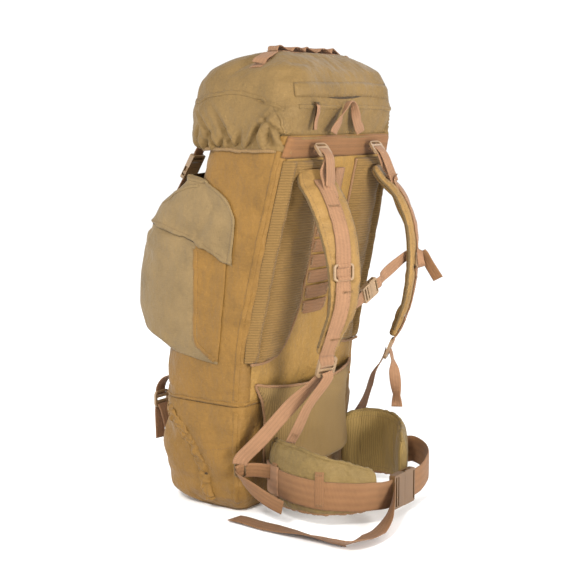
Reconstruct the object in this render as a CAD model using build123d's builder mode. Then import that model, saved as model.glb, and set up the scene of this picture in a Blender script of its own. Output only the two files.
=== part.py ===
from build123d import *
from math import cos, radians, sin
import os

# Hunting backpack, millimetres. +Z up, +Y towards the wearer's back (harness side),
# +X the wearer's right. The origin is on the floor, on the flat base and on the mid-plane.

# ---- driving dimensions ----
WALL = 3.0            # fabric wall with its lining
GAP = 0.4             # air between pieces of different bodies or layers
FRONT_R = 55.0        # corner radius of the bag at the front
BACK_R = 18.0         # corner radius of the bag at the back panel
BASE_T = 4.0          # reinforced base
FOAM_T = 6.0          # back panel foam
PAD_T = 9.0           # mesh pads on the back panel
WEB_T = 2.0           # webbing thickness
WEB_25 = 25.0         # narrow webbing
WEB_50 = 50.0         # hip belt webbing
SEAM_Z = 190.0        # seam between bottom compartment and main bag
RIM_Z = 640.0         # rim of the main bag
STAY_X = 55.0         # frame stays, each side of the middle
HINGE_Y, HINGE_Z = 140.0, 642.0     # where the lid turns on the back panel's top edge

# Each station: height, front y, back y, half width. The bag leans towards the wearer.
BOTTOM = [(BASE_T + GAP, -108, 30, 150), (26, -138, 40, 165), (110, -142, 43, 174),
          (SEAM_Z - GAP, -138, 47, 176)]
MAIN = [(SEAM_Z, -138, 47, 176), (300, -128, 56, 176), (450, -100, 90, 172),
        (530, -76, 108, 168), (600, -52, 124, 164), (RIM_Z, -40, 134, 160)]
POCKET = [(252, -150, 2, 178.5), (275, -182, 8, 182), (330, -194, 10, 184), (400, -192, 12, 184),
          (470, -178, 16, 182), (520, -148, 20, 177), (562, -92, 24, 171)]
LID = [(612, -70, 128, 172), (RIM_Z, -80, 140, 174), (680, -74, 148, 172), (715, -62, 146, 162),
       (745, -44, 132, 142), (764, -20, 108, 112), (774, 8, 84, 78)]
POCKET_RADII = (70, 12)   # front and back corner radii of the pocket
LID_RADII = (60, 24)      # front and back corner radii of the lid

def keep(name, body):
    """Label a finished piece and write its STEP file."""
    body.label = name
    export_step(body, f"parts/{name}.step")


def ring_sketch(station, grow, front_r=FRONT_R, back_r=BACK_R):
    """Plan outline of the bag at one station, grown outwards by grow."""
    z, y_front, y_back, half = station
    depth = y_back - y_front + 2 * grow
    front = min(front_r + grow, 0.42 * depth)
    back = min(back_r + grow, 0.42 * depth)
    with BuildSketch(Plane.XY.offset(z)) as section:
        with Locations((0, (y_front + y_back) / 2)):
            Rectangle(2 * (half + grow), depth)
        fillet(section.vertices().group_by(Axis.Y)[0], front)
        fillet(section.vertices().group_by(Axis.Y)[-1], back)
    return section.sketch


def stack(stations, grow, front_r=FRONT_R, back_r=BACK_R):
    """Solid through the stations' outlines."""
    rings = [ring_sketch(s, grow, front_r, back_r) for s in stations]
    with BuildPart() as solid:
        loft(rings, ruled=True)
    return solid.part


def skin(stations, inner, outer, region, front_r=FRONT_R, back_r=BACK_R):
    """Layer lying between two offsets of the stacked shape, kept only inside region."""
    with BuildPart() as layer:
        add(stack(stations, outer, front_r, back_r))
        add(stack(stations, inner, front_r, back_r), mode=Mode.SUBTRACT)
        add(region, mode=Mode.INTERSECT)
    return layer.part


def block(x0, x1, y0, y1, z0, z1):
    """Box between two corners, used as a cutting region."""
    with BuildPart() as region:
        with Locations(((x0 + x1) / 2, (y0 + y1) / 2, (z0 + z1) / 2)):
            Box(x1 - x0, y1 - y0, z1 - z0)
    return region.part


def side_region(points, half=260):
    """Outline in the side view (y, z), run through the whole width."""
    with BuildPart() as region:
        with BuildSketch(Plane.YZ) as outline:
            with BuildLine():
                Polyline(*points, close=True)
            make_face()
        extrude(amount=half, both=True)
    return region.part


def back_region(points, y0=0, y1=260):
    """Outline in the back view (x, z), run through the back half of the pack."""
    with BuildPart() as region:
        with BuildSketch(Plane.XZ.offset(-y1)) as outline:
            with BuildLine():
                Polyline(*points, close=True)
            make_face()
        extrude(amount=y1 - y0)
    return region.part


def ribbon(points, width, across, thickness=WEB_T, lap=1.0):
    """Webbing through the points. across is the direction of its width."""
    with BuildPart() as strap:
        for start, end in zip(points, points[1:]):
            a, b = Vector(*start), Vector(*end)
            run = (b - a).normalized()
            normal = run.cross(Vector(*across)).normalized()
            with BuildSketch(Plane(origin=a - run * lap, x_dir=run, z_dir=normal)):
                Rectangle((b - a).length + 2 * lap, width, align=(Align.MIN, Align.CENTER))
            extrude(amount=thickness / 2, both=True)
    return strap.part


def mirrored(body):
    """The same piece on the wearer's left."""
    return mirror(body, about=Plane.YZ, mode=Mode.PRIVATE)


# ---- bag and what it holds ----
def main_bag():
    with BuildPart() as bag:
        add(stack(MAIN, 0))
        add(stack(MAIN, -WALL), mode=Mode.SUBTRACT)
    return bag.part


def bottom_compartment():
    floor_z = BOTTOM[0][0] + WALL
    inside = [(floor_z, *BOTTOM[0][1:])] + BOTTOM[1:]
    with BuildPart() as shell:
        add(stack(BOTTOM, 0))
        add(stack(inside, -WALL), mode=Mode.SUBTRACT)
    return shell.part


def base_panel():
    base = [(0, -102, 24, 144), (BASE_T, -108, 30, 150)]
    return stack(base, 0)


def compartment_divider():
    """Zip-out floor of the main bag, just above the seam."""
    lowest = (SEAM_Z + 2, *MAIN[0][1:])
    top = (SEAM_Z + 4.5, *MAIN[0][1:])
    return stack([lowest, top], -WALL - 1.5)


EYELET_SPOTS = [Location((x, -33.1, 654), (90, 0, 0)) for x in (-60, -20, 20, 60)]


def snow_collar():
    rings = [(RIM_Z + GAP, -38, 126, 156), (664, -30, 122, 148)]
    with BuildPart() as collar:
        add(stack(rings, 0))
        add(stack(rings, -2.5), mode=Mode.SUBTRACT)
        add(collar_eyelets(), mode=Mode.SUBTRACT)
        with Locations(*EYELET_SPOTS):
            Cylinder(3, 20, mode=Mode.SUBTRACT)
    return collar.part


def collar_eyelets():
    """Brass eyelets for the collar's drawcord, each round the collar wall."""
    with BuildPart() as eyelets:
        with Locations(*EYELET_SPOTS):
            Cylinder(4.0, 6)
            with Locations((0, 0, 3.6), (0, 0, -3.6)):
                Cylinder(6.5, 1.2)
            Cylinder(2.6, 20, mode=Mode.SUBTRACT)
    return eyelets.part


def frame_sheet():
    region = block(-118, 118, 0, 220, 205, 590)
    return skin(MAIN, -WALL - GAP - 2.0, -WALL - GAP, region)


def frame_stay():
    region = block(STAY_X - 12.5, STAY_X + 12.5, 0, 220, 215, 580)
    outer = -WALL - 2 * GAP - 2.0
    return skin(MAIN, outer - 3.0, outer, region)


# ---- back panel ----
def back_foam():
    return skin(MAIN, GAP, GAP + FOAM_T, block(-150, 150, 0, 220, 245, 598))


def side_mesh_pad():
    outline = [(158, 598), (46, 598), (45, 430), (48, 350), (62, 300), (92, 268), (135, 262),
               (166, 266), (166, 400)]
    inner = 2 * GAP + FOAM_T
    return skin(MAIN, inner, inner + PAD_T, back_region(outline, y0=20))


def torso_ladder():
    """Slotted webbing that sets the back length, on the channel between the mesh pads."""
    inner = 2 * GAP + FOAM_T
    with BuildPart() as ladder:
        add(skin(MAIN, inner, inner + 3.0, block(-36, 36, 0, 220, 330, 520)))
        for rung in range(6):
            z = 350 + rung * 28
            with Locations((0, 100, z)):
                Box(44, 120, 4, mode=Mode.SUBTRACT)
    return ladder.part


def yoke_strip():
    """Stiff strip sewn down the middle, above the ladder webbing."""
    inner = 3 * GAP + FOAM_T + 3.0
    return skin(MAIN, inner, inner + 3.0, block(-12, 14, 0, 220, 470, 580))


def lumbar_pad():
    with BuildPart() as pad:
        with BuildSketch(Plane.XY.offset(62)):
            with BuildLine():
                Line((-108, 54.5), (108, 54.5))
                Line((108, 54.5), (108, 72))
                ThreePointArc((108, 72), (0, 104), (-108, 72))
                Line((-108, 72), (-108, 54.5))
            make_face()
        extrude(amount=118)
        with BuildSketch(Plane.XY.offset(180)):
            with BuildLine():
                Line((-108, 54.5), (108, 54.5))
                Line((108, 54.5), (108, 72))
                ThreePointArc((108, 72), (0, 104), (-108, 72))
                Line((-108, 72), (-108, 54.5))
            make_face()
        with BuildSketch(Plane.XY.offset(232)):
            with BuildLine():
                Line((-148, 58), (148, 58))
                Line((148, 58), (148, 66))
                ThreePointArc((148, 66), (0, 96), (-148, 66))
                Line((-148, 66), (-148, 58))
            make_face()
        loft(ruled=True)
    return pad.part


def top_band():
    region = block(-150, 150, 60, 240, 602, 638)
    return skin(MAIN, GAP, GAP + 3.0, region)


# ---- front pocket ----
def clear_of_bag(body):
    """The piece without what would lie inside the main bag."""
    with BuildPart() as trimmed:
        add(body)
        add(stack(MAIN, GAP), mode=Mode.SUBTRACT)
    return trimmed.part


def pocket_solid():
    with BuildPart() as solid:
        add(stack(POCKET, 0, *POCKET_RADII))
        add(stack(MAIN, GAP), mode=Mode.SUBTRACT)
    return solid.part


def pocket_hollow():
    """Free space between the pocket's wall and the bag."""
    inside = [(POCKET[0][0] + WALL, *POCKET[0][1:])] + POCKET[1:-1]
    inside.append((POCKET[-1][0] - WALL, *POCKET[-1][1:]))
    with BuildPart() as hollow:
        add(stack(inside, -WALL, *POCKET_RADII))
        add(stack(MAIN, GAP), mode=Mode.SUBTRACT)
    return hollow.part


def flap_line(shift):
    """Side-view region above the sloping mouth of the pocket."""
    return side_region([(-240, 497 + shift), (-190, 495 + shift), (40, 420 + shift), (40, 600),
                        (-240, 600)])


def front_pocket():
    with BuildPart() as pocket:
        add(pocket_solid())
        add(pocket_hollow(), mode=Mode.SUBTRACT)
        add(flap_line(0), mode=Mode.SUBTRACT)
    return pocket.part


def pocket_flap():
    with BuildPart() as flap:
        add(pocket_solid())
        add(pocket_hollow(), mode=Mode.SUBTRACT)
        add(flap_line(GAP), mode=Mode.INTERSECT)
    return flap.part


def flap_lip():
    """Rain lip of the flap, hanging over the pocket's mouth."""
    lip = side_region([(-240, 506), (-190, 504), (24, 434), (24, 410), (-190, 480), (-240, 482)])
    return clear_of_bag(skin(POCKET, GAP, GAP + 2.0, lip, *POCKET_RADII))


def pocket_zip():
    """Zip along the pocket's mouth, inside the lip."""
    tape = side_region([(-240, 503), (-190, 501), (10, 436), (10, 416), (-190, 481), (-240, 483)])
    return clear_of_bag(skin(POCKET, -WALL - GAP - 1.4, -WALL - GAP, tape, *POCKET_RADII))


# ---- bottom compartment trim ----
ZIP_ROUTE = [(-160, 166), (-101, 163), (-58, 126), (-33, 76), (-26, 34)]


def bottom_zip():
    upper = [(y, z + 6) for y, z in ZIP_ROUTE]
    lower = [(y - 6, z - 6) for y, z in reversed(ZIP_ROUTE)]
    return skin(BOTTOM, GAP, GAP + 1.6, side_region(upper + lower))


def bottom_zip_flap():
    """Gathered storm flap over the zip."""
    upper = [(y + 14, z + 12) for y, z in ZIP_ROUTE]
    lower = [(y - 8, z - 10) for y, z in reversed(ZIP_ROUTE)]
    return skin(BOTTOM, 2 * GAP + 1.6, 2 * GAP + 4.6, side_region(upper + lower))


# ---- lid ----
SKIRT_Y = 110.0       # the lid's skirt ends here, in front of the back panel


def lid_shell():
    with BuildPart() as lid:
        add(stack(LID, 0, *LID_RADII))
        skirt = [LID[0], LID[1], (668, -76, 145, 172)]
        add(stack(skirt, -3.5, *LID_RADII), mode=Mode.SUBTRACT)
        pocket = [(671, -75, 146, 172)] + LID[2:-1] + [(770, 8, 84, 78)]
        add(stack(pocket, -3.5, *LID_RADII), mode=Mode.SUBTRACT)
        add(block(-250, 250, SKIRT_Y, 300, 550, HINGE_Z + 0.5), mode=Mode.SUBTRACT)
        with Locations((8, 150, 690.75)):
            Box(218, 60, 5.5, mode=Mode.SUBTRACT)
    return lid.part


def lid_zip():
    region = block(-110, 126, 90, 220, 680, 702)
    return skin(LID, -3.5 - GAP - 1.5, -3.5 - GAP, region, *LID_RADII)


def lid_zip_flap():
    region = block(-140, 150, 60, 240, 694.5, 718)
    return skin(LID, GAP, GAP + 2.0, region, *LID_RADII)


def lid_hem():
    """Elastic binding round the lid's lower edge."""
    hem = [(604, -72, 128, 172), (611.6, -70, 128, 172)]
    region = block(-250, 250, -250, SKIRT_Y, 590, 640)
    return skin(hem, -3.5, 1.0, region, *LID_RADII)


def daisy_chain():
    """Row of webbing loops sewn along the crown of the lid."""
    with BuildPart() as chain:
        with BuildSketch(Plane.XZ.offset(-52)):
            with BuildLine():
                Polyline((-112, 766.5), (-78, 775.2), (78, 775.2), (112, 766.5), (112, 769),
                         (80, 777.5), (-80, 777.5), (-112, 769), close=True)
            make_face()
        extrude(amount=25)
        for index in range(6):
            with BuildSketch(Plane.XZ.offset(-50)):
                with Locations((-70 + 28 * index, 777)):
                    Rectangle(20, 6, align=(Align.CENTER, Align.MIN))
                    Rectangle(15, 4, align=(Align.CENTER, Align.MIN), mode=Mode.SUBTRACT)
            extrude(amount=21)
    return chain.part


STRAP_X = 88.0
BUCKLE_YZ = (-121.0, 583.0)
BUCKLE_RUN = (-0.52, -0.854)


def along_buckle(distance):
    """Point on the lid strap's line, measured from the buckle's middle."""
    return (STRAP_X, BUCKLE_YZ[0] + BUCKLE_RUN[0] * distance, BUCKLE_YZ[1] + BUCKLE_RUN[1] * distance)


def lid_strap():
    points = [(STRAP_X, -86, 633), along_buckle(-26.5)]
    return ribbon(points, WEB_25, (1, 0, 0))


def socket_webbing():
    points = [along_buckle(26), (STRAP_X, -160, 521), (STRAP_X, -172, 497)]
    return ribbon(points, WEB_25, (1, 0, 0))


# ---- side-release buckles, made about the origin with the strap along local x ----
def buckle_plug(width, length, thick):
    """Male half: a bar for the webbing, a body and two sprung prongs with a guide."""
    with BuildPart() as plug:
        with BuildSketch():
            Rectangle(length, width + 8, align=(Align.MAX, Align.CENTER))
            with Locations((-length + 4, 0)):
                Rectangle(4, width + 1, align=(Align.MIN, Align.CENTER), mode=Mode.SUBTRACT)
            with Locations((-length + 12, 0)):
                Rectangle(3, width + 1, align=(Align.MIN, Align.CENTER), mode=Mode.SUBTRACT)
        extrude(amount=thick / 2, both=True)
        fillet(plug.edges().filter_by(Axis.Z).group_by(Axis.X)[0], 3)
        prong = length * 0.62
        with BuildSketch():
            for side in (-1, 1):
                with Locations((0, side * (width / 2 - 1))):
                    Rectangle(prong, 5, align=(Align.MIN, Align.CENTER))
                with Locations((prong - 3, side * (width / 2 + 0.5))):
                    Circle(4)
            Rectangle(prong * 0.9, 4, align=(Align.MIN, Align.CENTER))
        extrude(amount=thick * 0.22, both=True)
    return plug.part


def buckle_socket(width, length, thick):
    """Female half: a flat tube with side windows for the prongs and a webbing bar."""
    with BuildPart() as socket:
        with BuildSketch():
            with Locations((0.5, 0)):
                Rectangle(length, width + 10, align=(Align.MIN, Align.CENTER))
        extrude(amount=thick / 2, both=True)
        fillet(socket.edges().filter_by(Axis.Z).group_by(Axis.X)[-1], 4)
        fillet(socket.edges().filter_by(Axis.X), 1.2)
        with BuildSketch():
            Rectangle(length * 0.74, width + 11, align=(Align.MIN, Align.CENTER))
        extrude(amount=thick * 0.32, both=True, mode=Mode.SUBTRACT)
        with BuildSketch():
            with Locations((length - 6, 0)):
                Rectangle(4, width, align=(Align.MIN, Align.CENTER))
        extrude(amount=thick, both=True, mode=Mode.SUBTRACT)
    return socket.part


def ladder_plate(width, length, thick):
    """Ladder lock: an oval plate with cross bars and a lifting lip."""
    with BuildPart() as plate:
        with BuildSketch():
            RectangleRounded(width + 11, length, 8)
            for offset in (-9, 0, 9):
                with Locations((0, offset)):
                    SlotOverall(width + 1.5, 4.4, mode=Mode.SUBTRACT)
        extrude(amount=thick / 2, both=True)
        fillet(plate.edges().filter_by(Plane.XY).group_by(SortBy.LENGTH)[-1], 0.8)
    return plate.part


def web_ring(width, height, wire):
    """Rounded rectangular ring of round-edged wire."""
    with BuildPart() as ring:
        with BuildSketch():
            RectangleRounded(width + 2 * wire, height + 2 * wire, 6)
            RectangleRounded(width, height, 3, mode=Mode.SUBTRACT)
        extrude(amount=wire / 2, both=True)
        fillet(ring.edges().filter_by(Plane.XY), wire * 0.3)
    return ring.part


def placed(body, origin, x_dir, z_dir):
    """Move a piece made about the origin to its place on the pack."""
    plane = Plane(origin=origin, x_dir=x_dir, z_dir=z_dir)
    return plane.location * body


def cross(a, b):
    return (a[1] * b[2] - a[2] * b[1], a[2] * b[0] - a[0] * b[2], a[0] * b[1] - a[1] * b[0])


LID_BUCKLE = (WEB_25, 24, 9)
BUCKLE_DIR = (0, *BUCKLE_RUN)
BUCKLE_OUT = (0, BUCKLE_RUN[1], -BUCKLE_RUN[0])


def both_sides(body):
    """A pair of identical pieces, one on each side."""
    with BuildPart() as pair:
        add(body)
        add(mirrored(body))
    return pair.part


def lid_plugs():
    plug = placed(buckle_plug(*LID_BUCKLE), along_buckle(0), BUCKLE_DIR, BUCKLE_OUT)
    return both_sides(plug)


def lid_sockets():
    socket = placed(buckle_socket(*LID_BUCKLE), along_buckle(0), BUCKLE_DIR, BUCKLE_OUT)
    return both_sides(socket)


# ---- compression straps on the bottom compartment ----
COMP_X = 122.0


def compression_straps():
    """Folded webbing from the bag, through a buckle, to a loose tail."""
    with BuildPart() as straps:
        add(ribbon([(COMP_X, -139.8, 214), (COMP_X, -164, 203), (COMP_X, -172, 186)], WEB_25,
                   (1, 0, 0)))
        add(ribbon([(COMP_X, -168, 150), (COMP_X, -163, 100)], WEB_25, (1, 0, 0)))
        add(ribbon([(COMP_X, -174, 150), (COMP_X, -172, 92)], WEB_25, (1, 0, 0)))
    return both_sides(straps.part)


def compression_buckles():
    plate = placed(ladder_plate(WEB_25, 30, 4), (COMP_X, -171.5, 168.5), (1, 0, 0), (0, -1, 0))
    return both_sides(plate)


# ---- shoulder harness ----
TOP_X, TOP_Y = 85.0, 128.0
TURN = radians(22)
OUT = (sin(TURN), cos(TURN), 0)          # away from the back, in the strap's plane
ACROSS = (cos(TURN), -sin(TURN), 0)      # along the strap's width
PAD_LINE = [(27, 562), (52, 535), (76, 485), (80, 425), (72, 350), (50, 288)]
PAD_W, PAD_THICK = 70.0, 14.0


def strap_point(u, z):
    """Point in the shoulder strap's plane: u out from the back, z up."""
    return (TOP_X + u * OUT[0], TOP_Y + u * OUT[1], z)


def strap_band(line, width, thickness):
    plane = Plane(origin=(TOP_X, TOP_Y, 0), x_dir=OUT, z_dir=ACROSS)
    with BuildPart() as band:
        with BuildSketch(plane):
            with BuildLine() as route:
                Spline(*line)
            trace(route.line, line_width=thickness)
        extrude(amount=width / 2, both=True)
    return band.part


def shoulder_pad():
    return strap_band(PAD_LINE, PAD_W, PAD_THICK)


def strap_webbing():
    """Webbing sewn down the face of the shoulder pad."""
    shift = PAD_THICK / 2 + WEB_T / 2 + 0.3
    line = [(u + shift * k, z + shift * s) for (u, z), (k, s) in zip(
        PAD_LINE, [(0.72, 0.70), (0.82, 0.57), (0.98, 0.2), (1.0, -0.05), (0.98, -0.2),
                   (0.93, -0.36)])]
    return strap_band(line, WEB_25 + 5, WEB_T)


def strap_ring():
    ring = web_ring(WEB_25 + 6, 20, 4)
    return placed(ring, strap_point(80 + PAD_THICK / 2 + 5.6, 424), ACROSS, OUT)


LOCK_AT = (44, 262)
LOCK_FACE = (0.93, -0.36)


def ladder_lock():
    face = (OUT[0] * LOCK_FACE[0], OUT[1] * LOCK_FACE[0], LOCK_FACE[1])
    plate = ladder_plate(WEB_25, 38, 5)
    return placed(plate, strap_point(*LOCK_AT), ACROSS, face)


def lower_webbing():
    """From the corner ring up to the ladder lock, and back down as the loose tail."""
    start = (176, 50, 113)
    lock = strap_point(32, 245)
    with BuildPart() as webbing:
        add(ribbon([lock, (158, 88, 147), start], WEB_25, (-0.35, 0.5, -0.61)))
        tail = [strap_point(45, 235), (118, 146, 190), (128, 128, 146)]
        add(ribbon(tail, WEB_25 - 3, (-0.45, 0.65, -0.3)))
    return webbing.part


def lifter_webbing():
    """Load lifter from the top of the shoulder pad to its buckle on the top band."""
    points = [strap_point(45, 569), (TOP_X, 160.5, 597)]
    return ribbon(points, WEB_25, (1, 0, 0))


def lifter_buckles():
    plate = placed(ladder_plate(WEB_25, 26, 4), (TOP_X, 150.5, 616), (1, 0, 0), (0, 0.8, 0.6))
    return both_sides(plate)


STERNUM = [(74, 206, 367), (31, 207, 384), (-74, 206, 424)]


def toward(a, b, distance):
    """Point at a distance from a on the line to b."""
    return tuple(Vector(*a) + (Vector(*b) - Vector(*a)).normalized() * distance)


def sternum_right():
    return ribbon([STERNUM[0], toward(STERNUM[1], STERNUM[0], 25)], WEB_25 - 5, (0, 0, 1))


def sternum_left():
    """Left half, its keeper over the pad and the loose tail outside."""
    with BuildPart() as strap:
        add(ribbon([toward(STERNUM[1], STERNUM[2], 25), STERNUM[2]], WEB_25 - 5, (0, 0, 1)))
        add(ribbon([(-122, 223.5, 420), (-134, 245, 392)], WEB_25 - 5, (0.2, 0.5, 0.8)))
    return strap.part


STERNUM_RUN = (Vector(*STERNUM[2]) - Vector(*STERNUM[0])).normalized()


def sternum_plug():
    return placed(buckle_plug(WEB_25 - 5, 22, 8), STERNUM[1], tuple(STERNUM_RUN), (0, 1, 0.001))


def sternum_socket():
    return placed(buckle_socket(WEB_25 - 5, 22, 8), STERNUM[1], tuple(STERNUM_RUN), (0, 1, 0.001))


def corner_rings():
    """Rings at the pack's lower back corners, each on its sewn tab."""
    ring = placed(web_ring(14, 26, 3), (177.5, 47, 88), (0.57, -0.82, 0), (0.82, 0.57, 0))
    return both_sides(ring)


# ---- hip belt ----
BELT_LINE = [(116, 80), (136, 96), (151, 142), (146, 190), (112, 222)]
BELT_THICK = 20.0
BELT_LOW, BELT_HIGH = 34.0, 134.0
BELT_BUCKLE = (0, 257, 46)


def belt_wing():
    with BuildPart() as wing:
        with BuildSketch(Plane.XY.offset(BELT_LOW)):
            with BuildLine() as route:
                Spline(*BELT_LINE)
            trace(route.line, line_width=BELT_THICK)
        extrude(amount=BELT_HIGH - BELT_LOW)
        slope = side_region([(150, BELT_HIGH + 1), (260, BELT_HIGH + 1), (260, 86)])
        add(slope, mode=Mode.SUBTRACT)
    return wing.part


def belt_webbing():
    """Webbing along the outside of the wing and on to the buckle."""
    route_points = [(153, 101), (163, 143), (156, 197), (119, 235)]
    with BuildPart() as webbing:
        with BuildSketch(Plane.XY.offset(45)):
            with BuildLine() as route:
                Spline(*route_points)
            trace(route.line, line_width=WEB_T)
        extrude(amount=WEB_50)
        add(ribbon([(119, 235, 70), (84, 250, 52), (46, 257, 46)], WEB_50, (0, 0, 1)))
    return webbing.part


def belt_plug():
    return placed(buckle_plug(WEB_50, 34, 11), BELT_BUCKLE, (-1, 0, 0), (0, 1, 0))


def belt_socket():
    return placed(buckle_socket(WEB_50, 34, 11), BELT_BUCKLE, (-1, 0, 0), (0, 1, 0))


def belt_tail():
    """Long free end of the belt webbing, lying on the floor."""
    with BuildPart() as tail:
        add(ribbon([(46, 286, 26), (84, 290, 13), (140, 288, 4.2)], WEB_50 - 4, (0, 1, 0)))
        add(ribbon([(139, 288, 3.4), (209, 278, 2.2)], WEB_50 - 4, (0, 1, 0)))
        add(ribbon([(207, 272, 1.9), (192, 150, 1.9), (187, 40, 1.9)], WEB_50 - 8, (1, 0, 0)))
    return tail.part


def belt_stabiliser():
    """Webbing from the wing's root through the corner ring, with its loose tail."""
    with BuildPart() as webbing:
        add(ribbon([(147, 76, 84), (168, 56, 82)], WEB_25 + 5, (0, 0, 1)))
        add(ribbon([(182, 66, 72), (187, 104, 50), (186, 140, 38)], WEB_25 + 3, (0, -0.5, 0.8)))
    return webbing.part


# ---- haul loop and zip sliders ----
def haul_loop():
    """Carrying loop standing on the top band, behind the lid."""
    lean = Plane(origin=(0, 148.6, HINGE_Z + 1), x_dir=(1, 0, 0), z_dir=(0, -0.98, 0.2))
    with BuildPart() as loop:
        with BuildSketch(lean):
            with BuildLine():
                Polyline((46, 0), (30, 34), (16, 41), (2, 34), (-34, 0), (-14, 0), (10, 22),
                         (16, 24), (21, 20), (28, 0), close=True)
            make_face()
        extrude(amount=1.5, both=True)
    return loop.part


def zip_slider():
    """Slider body about the origin: local x along the zip, local z outwards."""
    with BuildPart() as slider:
        with BuildSketch():
            RectangleRounded(12, 6.4, 2)
        extrude(amount=3.2)
        with BuildSketch(Plane.XY.offset(3.2)):
            SlotOverall(8, 2.6)
        extrude(amount=1.8)
    return slider.part


def lid_zip_slider():
    """Slider at the zip's near end, with its webbing pull hanging down the lid."""
    with BuildPart() as slider:
        add(placed(zip_slider(), (104, 149.6, 690), (-1, 0, 0), (0, 1, 0)))
        add(ribbon([(104, 151.6, 687.5), (104, 146.0, 649)], 9, (1, 0, 0), 1.6, 0))
    return slider.part


def pocket_zip_slider():
    return placed(zip_slider(), (60, -177.6, 475), (1, 0, 0), (0, -1, 0))


def bottom_zip_slider():
    return placed(zip_slider(), (60, -141.4, 147.5), (1, 0, 0), (0, -1, 0))


def build():
    os.makedirs("parts", exist_ok=True)
    singles = [main_bag, bottom_compartment, base_panel, compartment_divider, snow_collar,
               collar_eyelets, frame_sheet, back_foam, torso_ladder, yoke_strip, lumbar_pad,
               top_band, front_pocket, pocket_flap, flap_lip, pocket_zip, bottom_zip,
               bottom_zip_flap, lid_shell, lid_zip, lid_zip_flap, lid_hem, daisy_chain,
               lid_plugs, lid_sockets, compression_straps, compression_buckles,
               lifter_buckles, corner_rings, sternum_right, sternum_left, sternum_plug,
               sternum_socket, belt_plug, belt_socket, belt_tail, haul_loop, lid_zip_slider,
               pocket_zip_slider, bottom_zip_slider]
    for make in singles:
        keep(make.__name__, make())
    grouped = [frame_stay, lid_strap, socket_webbing, strap_ring, lifter_webbing,
               belt_stabiliser]
    for make in grouped:
        keep(make.__name__ + "s", both_sides(make()))
    pairs = [side_mesh_pad, shoulder_pad, strap_webbing, ladder_lock, lower_webbing, belt_wing,
             belt_webbing]
    for make in pairs:
        body = make()
        keep(make.__name__ + "_right", body)
        keep(make.__name__ + "_left", mirrored(body))


build()
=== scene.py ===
import random
from math import cos, exp, hypot, pi, radians, sin, tanh

import bmesh
import bpy
import numpy as np
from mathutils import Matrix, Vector, noise
from mathutils.bvhtree import BVHTree


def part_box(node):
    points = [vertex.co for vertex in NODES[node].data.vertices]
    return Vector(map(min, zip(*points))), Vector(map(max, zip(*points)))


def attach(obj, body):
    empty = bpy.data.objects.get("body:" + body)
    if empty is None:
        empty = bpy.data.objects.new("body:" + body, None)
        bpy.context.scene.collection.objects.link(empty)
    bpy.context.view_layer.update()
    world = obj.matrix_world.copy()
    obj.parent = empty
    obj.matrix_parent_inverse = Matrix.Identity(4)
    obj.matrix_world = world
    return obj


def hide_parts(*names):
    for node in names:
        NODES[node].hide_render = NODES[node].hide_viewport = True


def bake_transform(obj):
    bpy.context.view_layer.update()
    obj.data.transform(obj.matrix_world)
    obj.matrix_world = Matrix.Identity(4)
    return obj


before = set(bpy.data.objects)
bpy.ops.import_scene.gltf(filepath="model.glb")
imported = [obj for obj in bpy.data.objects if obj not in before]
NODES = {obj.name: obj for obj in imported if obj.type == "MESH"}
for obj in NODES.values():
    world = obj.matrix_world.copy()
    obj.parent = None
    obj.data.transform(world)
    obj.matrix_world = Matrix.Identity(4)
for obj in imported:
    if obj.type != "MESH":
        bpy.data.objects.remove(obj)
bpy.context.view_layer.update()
MM = 0.001
random.seed(7)

CAMERA_TURN, CAMERA_DISTANCE, CAMERA_HEIGHT, CAMERA_LENS = radians(125), 2.2, 0.68, 77.6
CAMERA_AIM = (0, 0.03, 0.362)
# name, place, target, size, power and tint
LIGHTS = (("key", (3.4, 1.0, 2.9), (0, 0, 0.3), 0.8, 150, (1.0, 0.98, 0.95)),
          ("fill", (0.8, 3.4, 0.75), (0, 0.1, 0.2), 1.2, 135, (1.0, 0.99, 0.97)),
          ("side", (2.0, -3.0, 0.9), (0, 0, 0.2), 1.0, 40, (0.90, 0.96, 1.0)),
          ("rim", (-2.2, 0.2, 1.9), (0, 0, 0.5), 1.4, 10, (1, 1, 1)))
WORLD_STRENGTH = 1.05
FLOOR_HALF = 6
FLOOR_COLOUR, FLOOR_ROUGH = (1.98, 1.98, 1.98), 0.75


# ---------------------------------------------------------------- camera, light and floor
def look_at(item, target):
    """Turns a camera or lamp towards a place."""
    item.rotation_euler = (Vector(target) - item.location).to_track_quat("-Z", "Y").to_euler()


def add_item(name, data):
    """Puts a new object in the scene."""
    item = bpy.data.objects.new(name, data)
    bpy.context.scene.collection.objects.link(item)
    return item


def add_camera():
    """Camera at the height and turn of the reference view."""
    data = bpy.data.cameras.new("camera")
    data.sensor_width = 36
    data.lens = CAMERA_LENS
    camera = add_item("camera", data)
    camera.location = (CAMERA_DISTANCE * sin(CAMERA_TURN),
                       CAMERA_AIM[1] - CAMERA_DISTANCE * cos(CAMERA_TURN), CAMERA_HEIGHT)
    look_at(camera, CAMERA_AIM)
    bpy.context.scene.camera = camera


def add_light(name, spot, target, size, power, tint):
    """Round area light."""
    data = bpy.data.lights.new(name, "AREA")
    data.shape = "DISK"
    data.size = size
    data.energy = power
    data.color = tint
    lamp = add_item(name, data)
    lamp.location = spot
    look_at(lamp, target)


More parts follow.
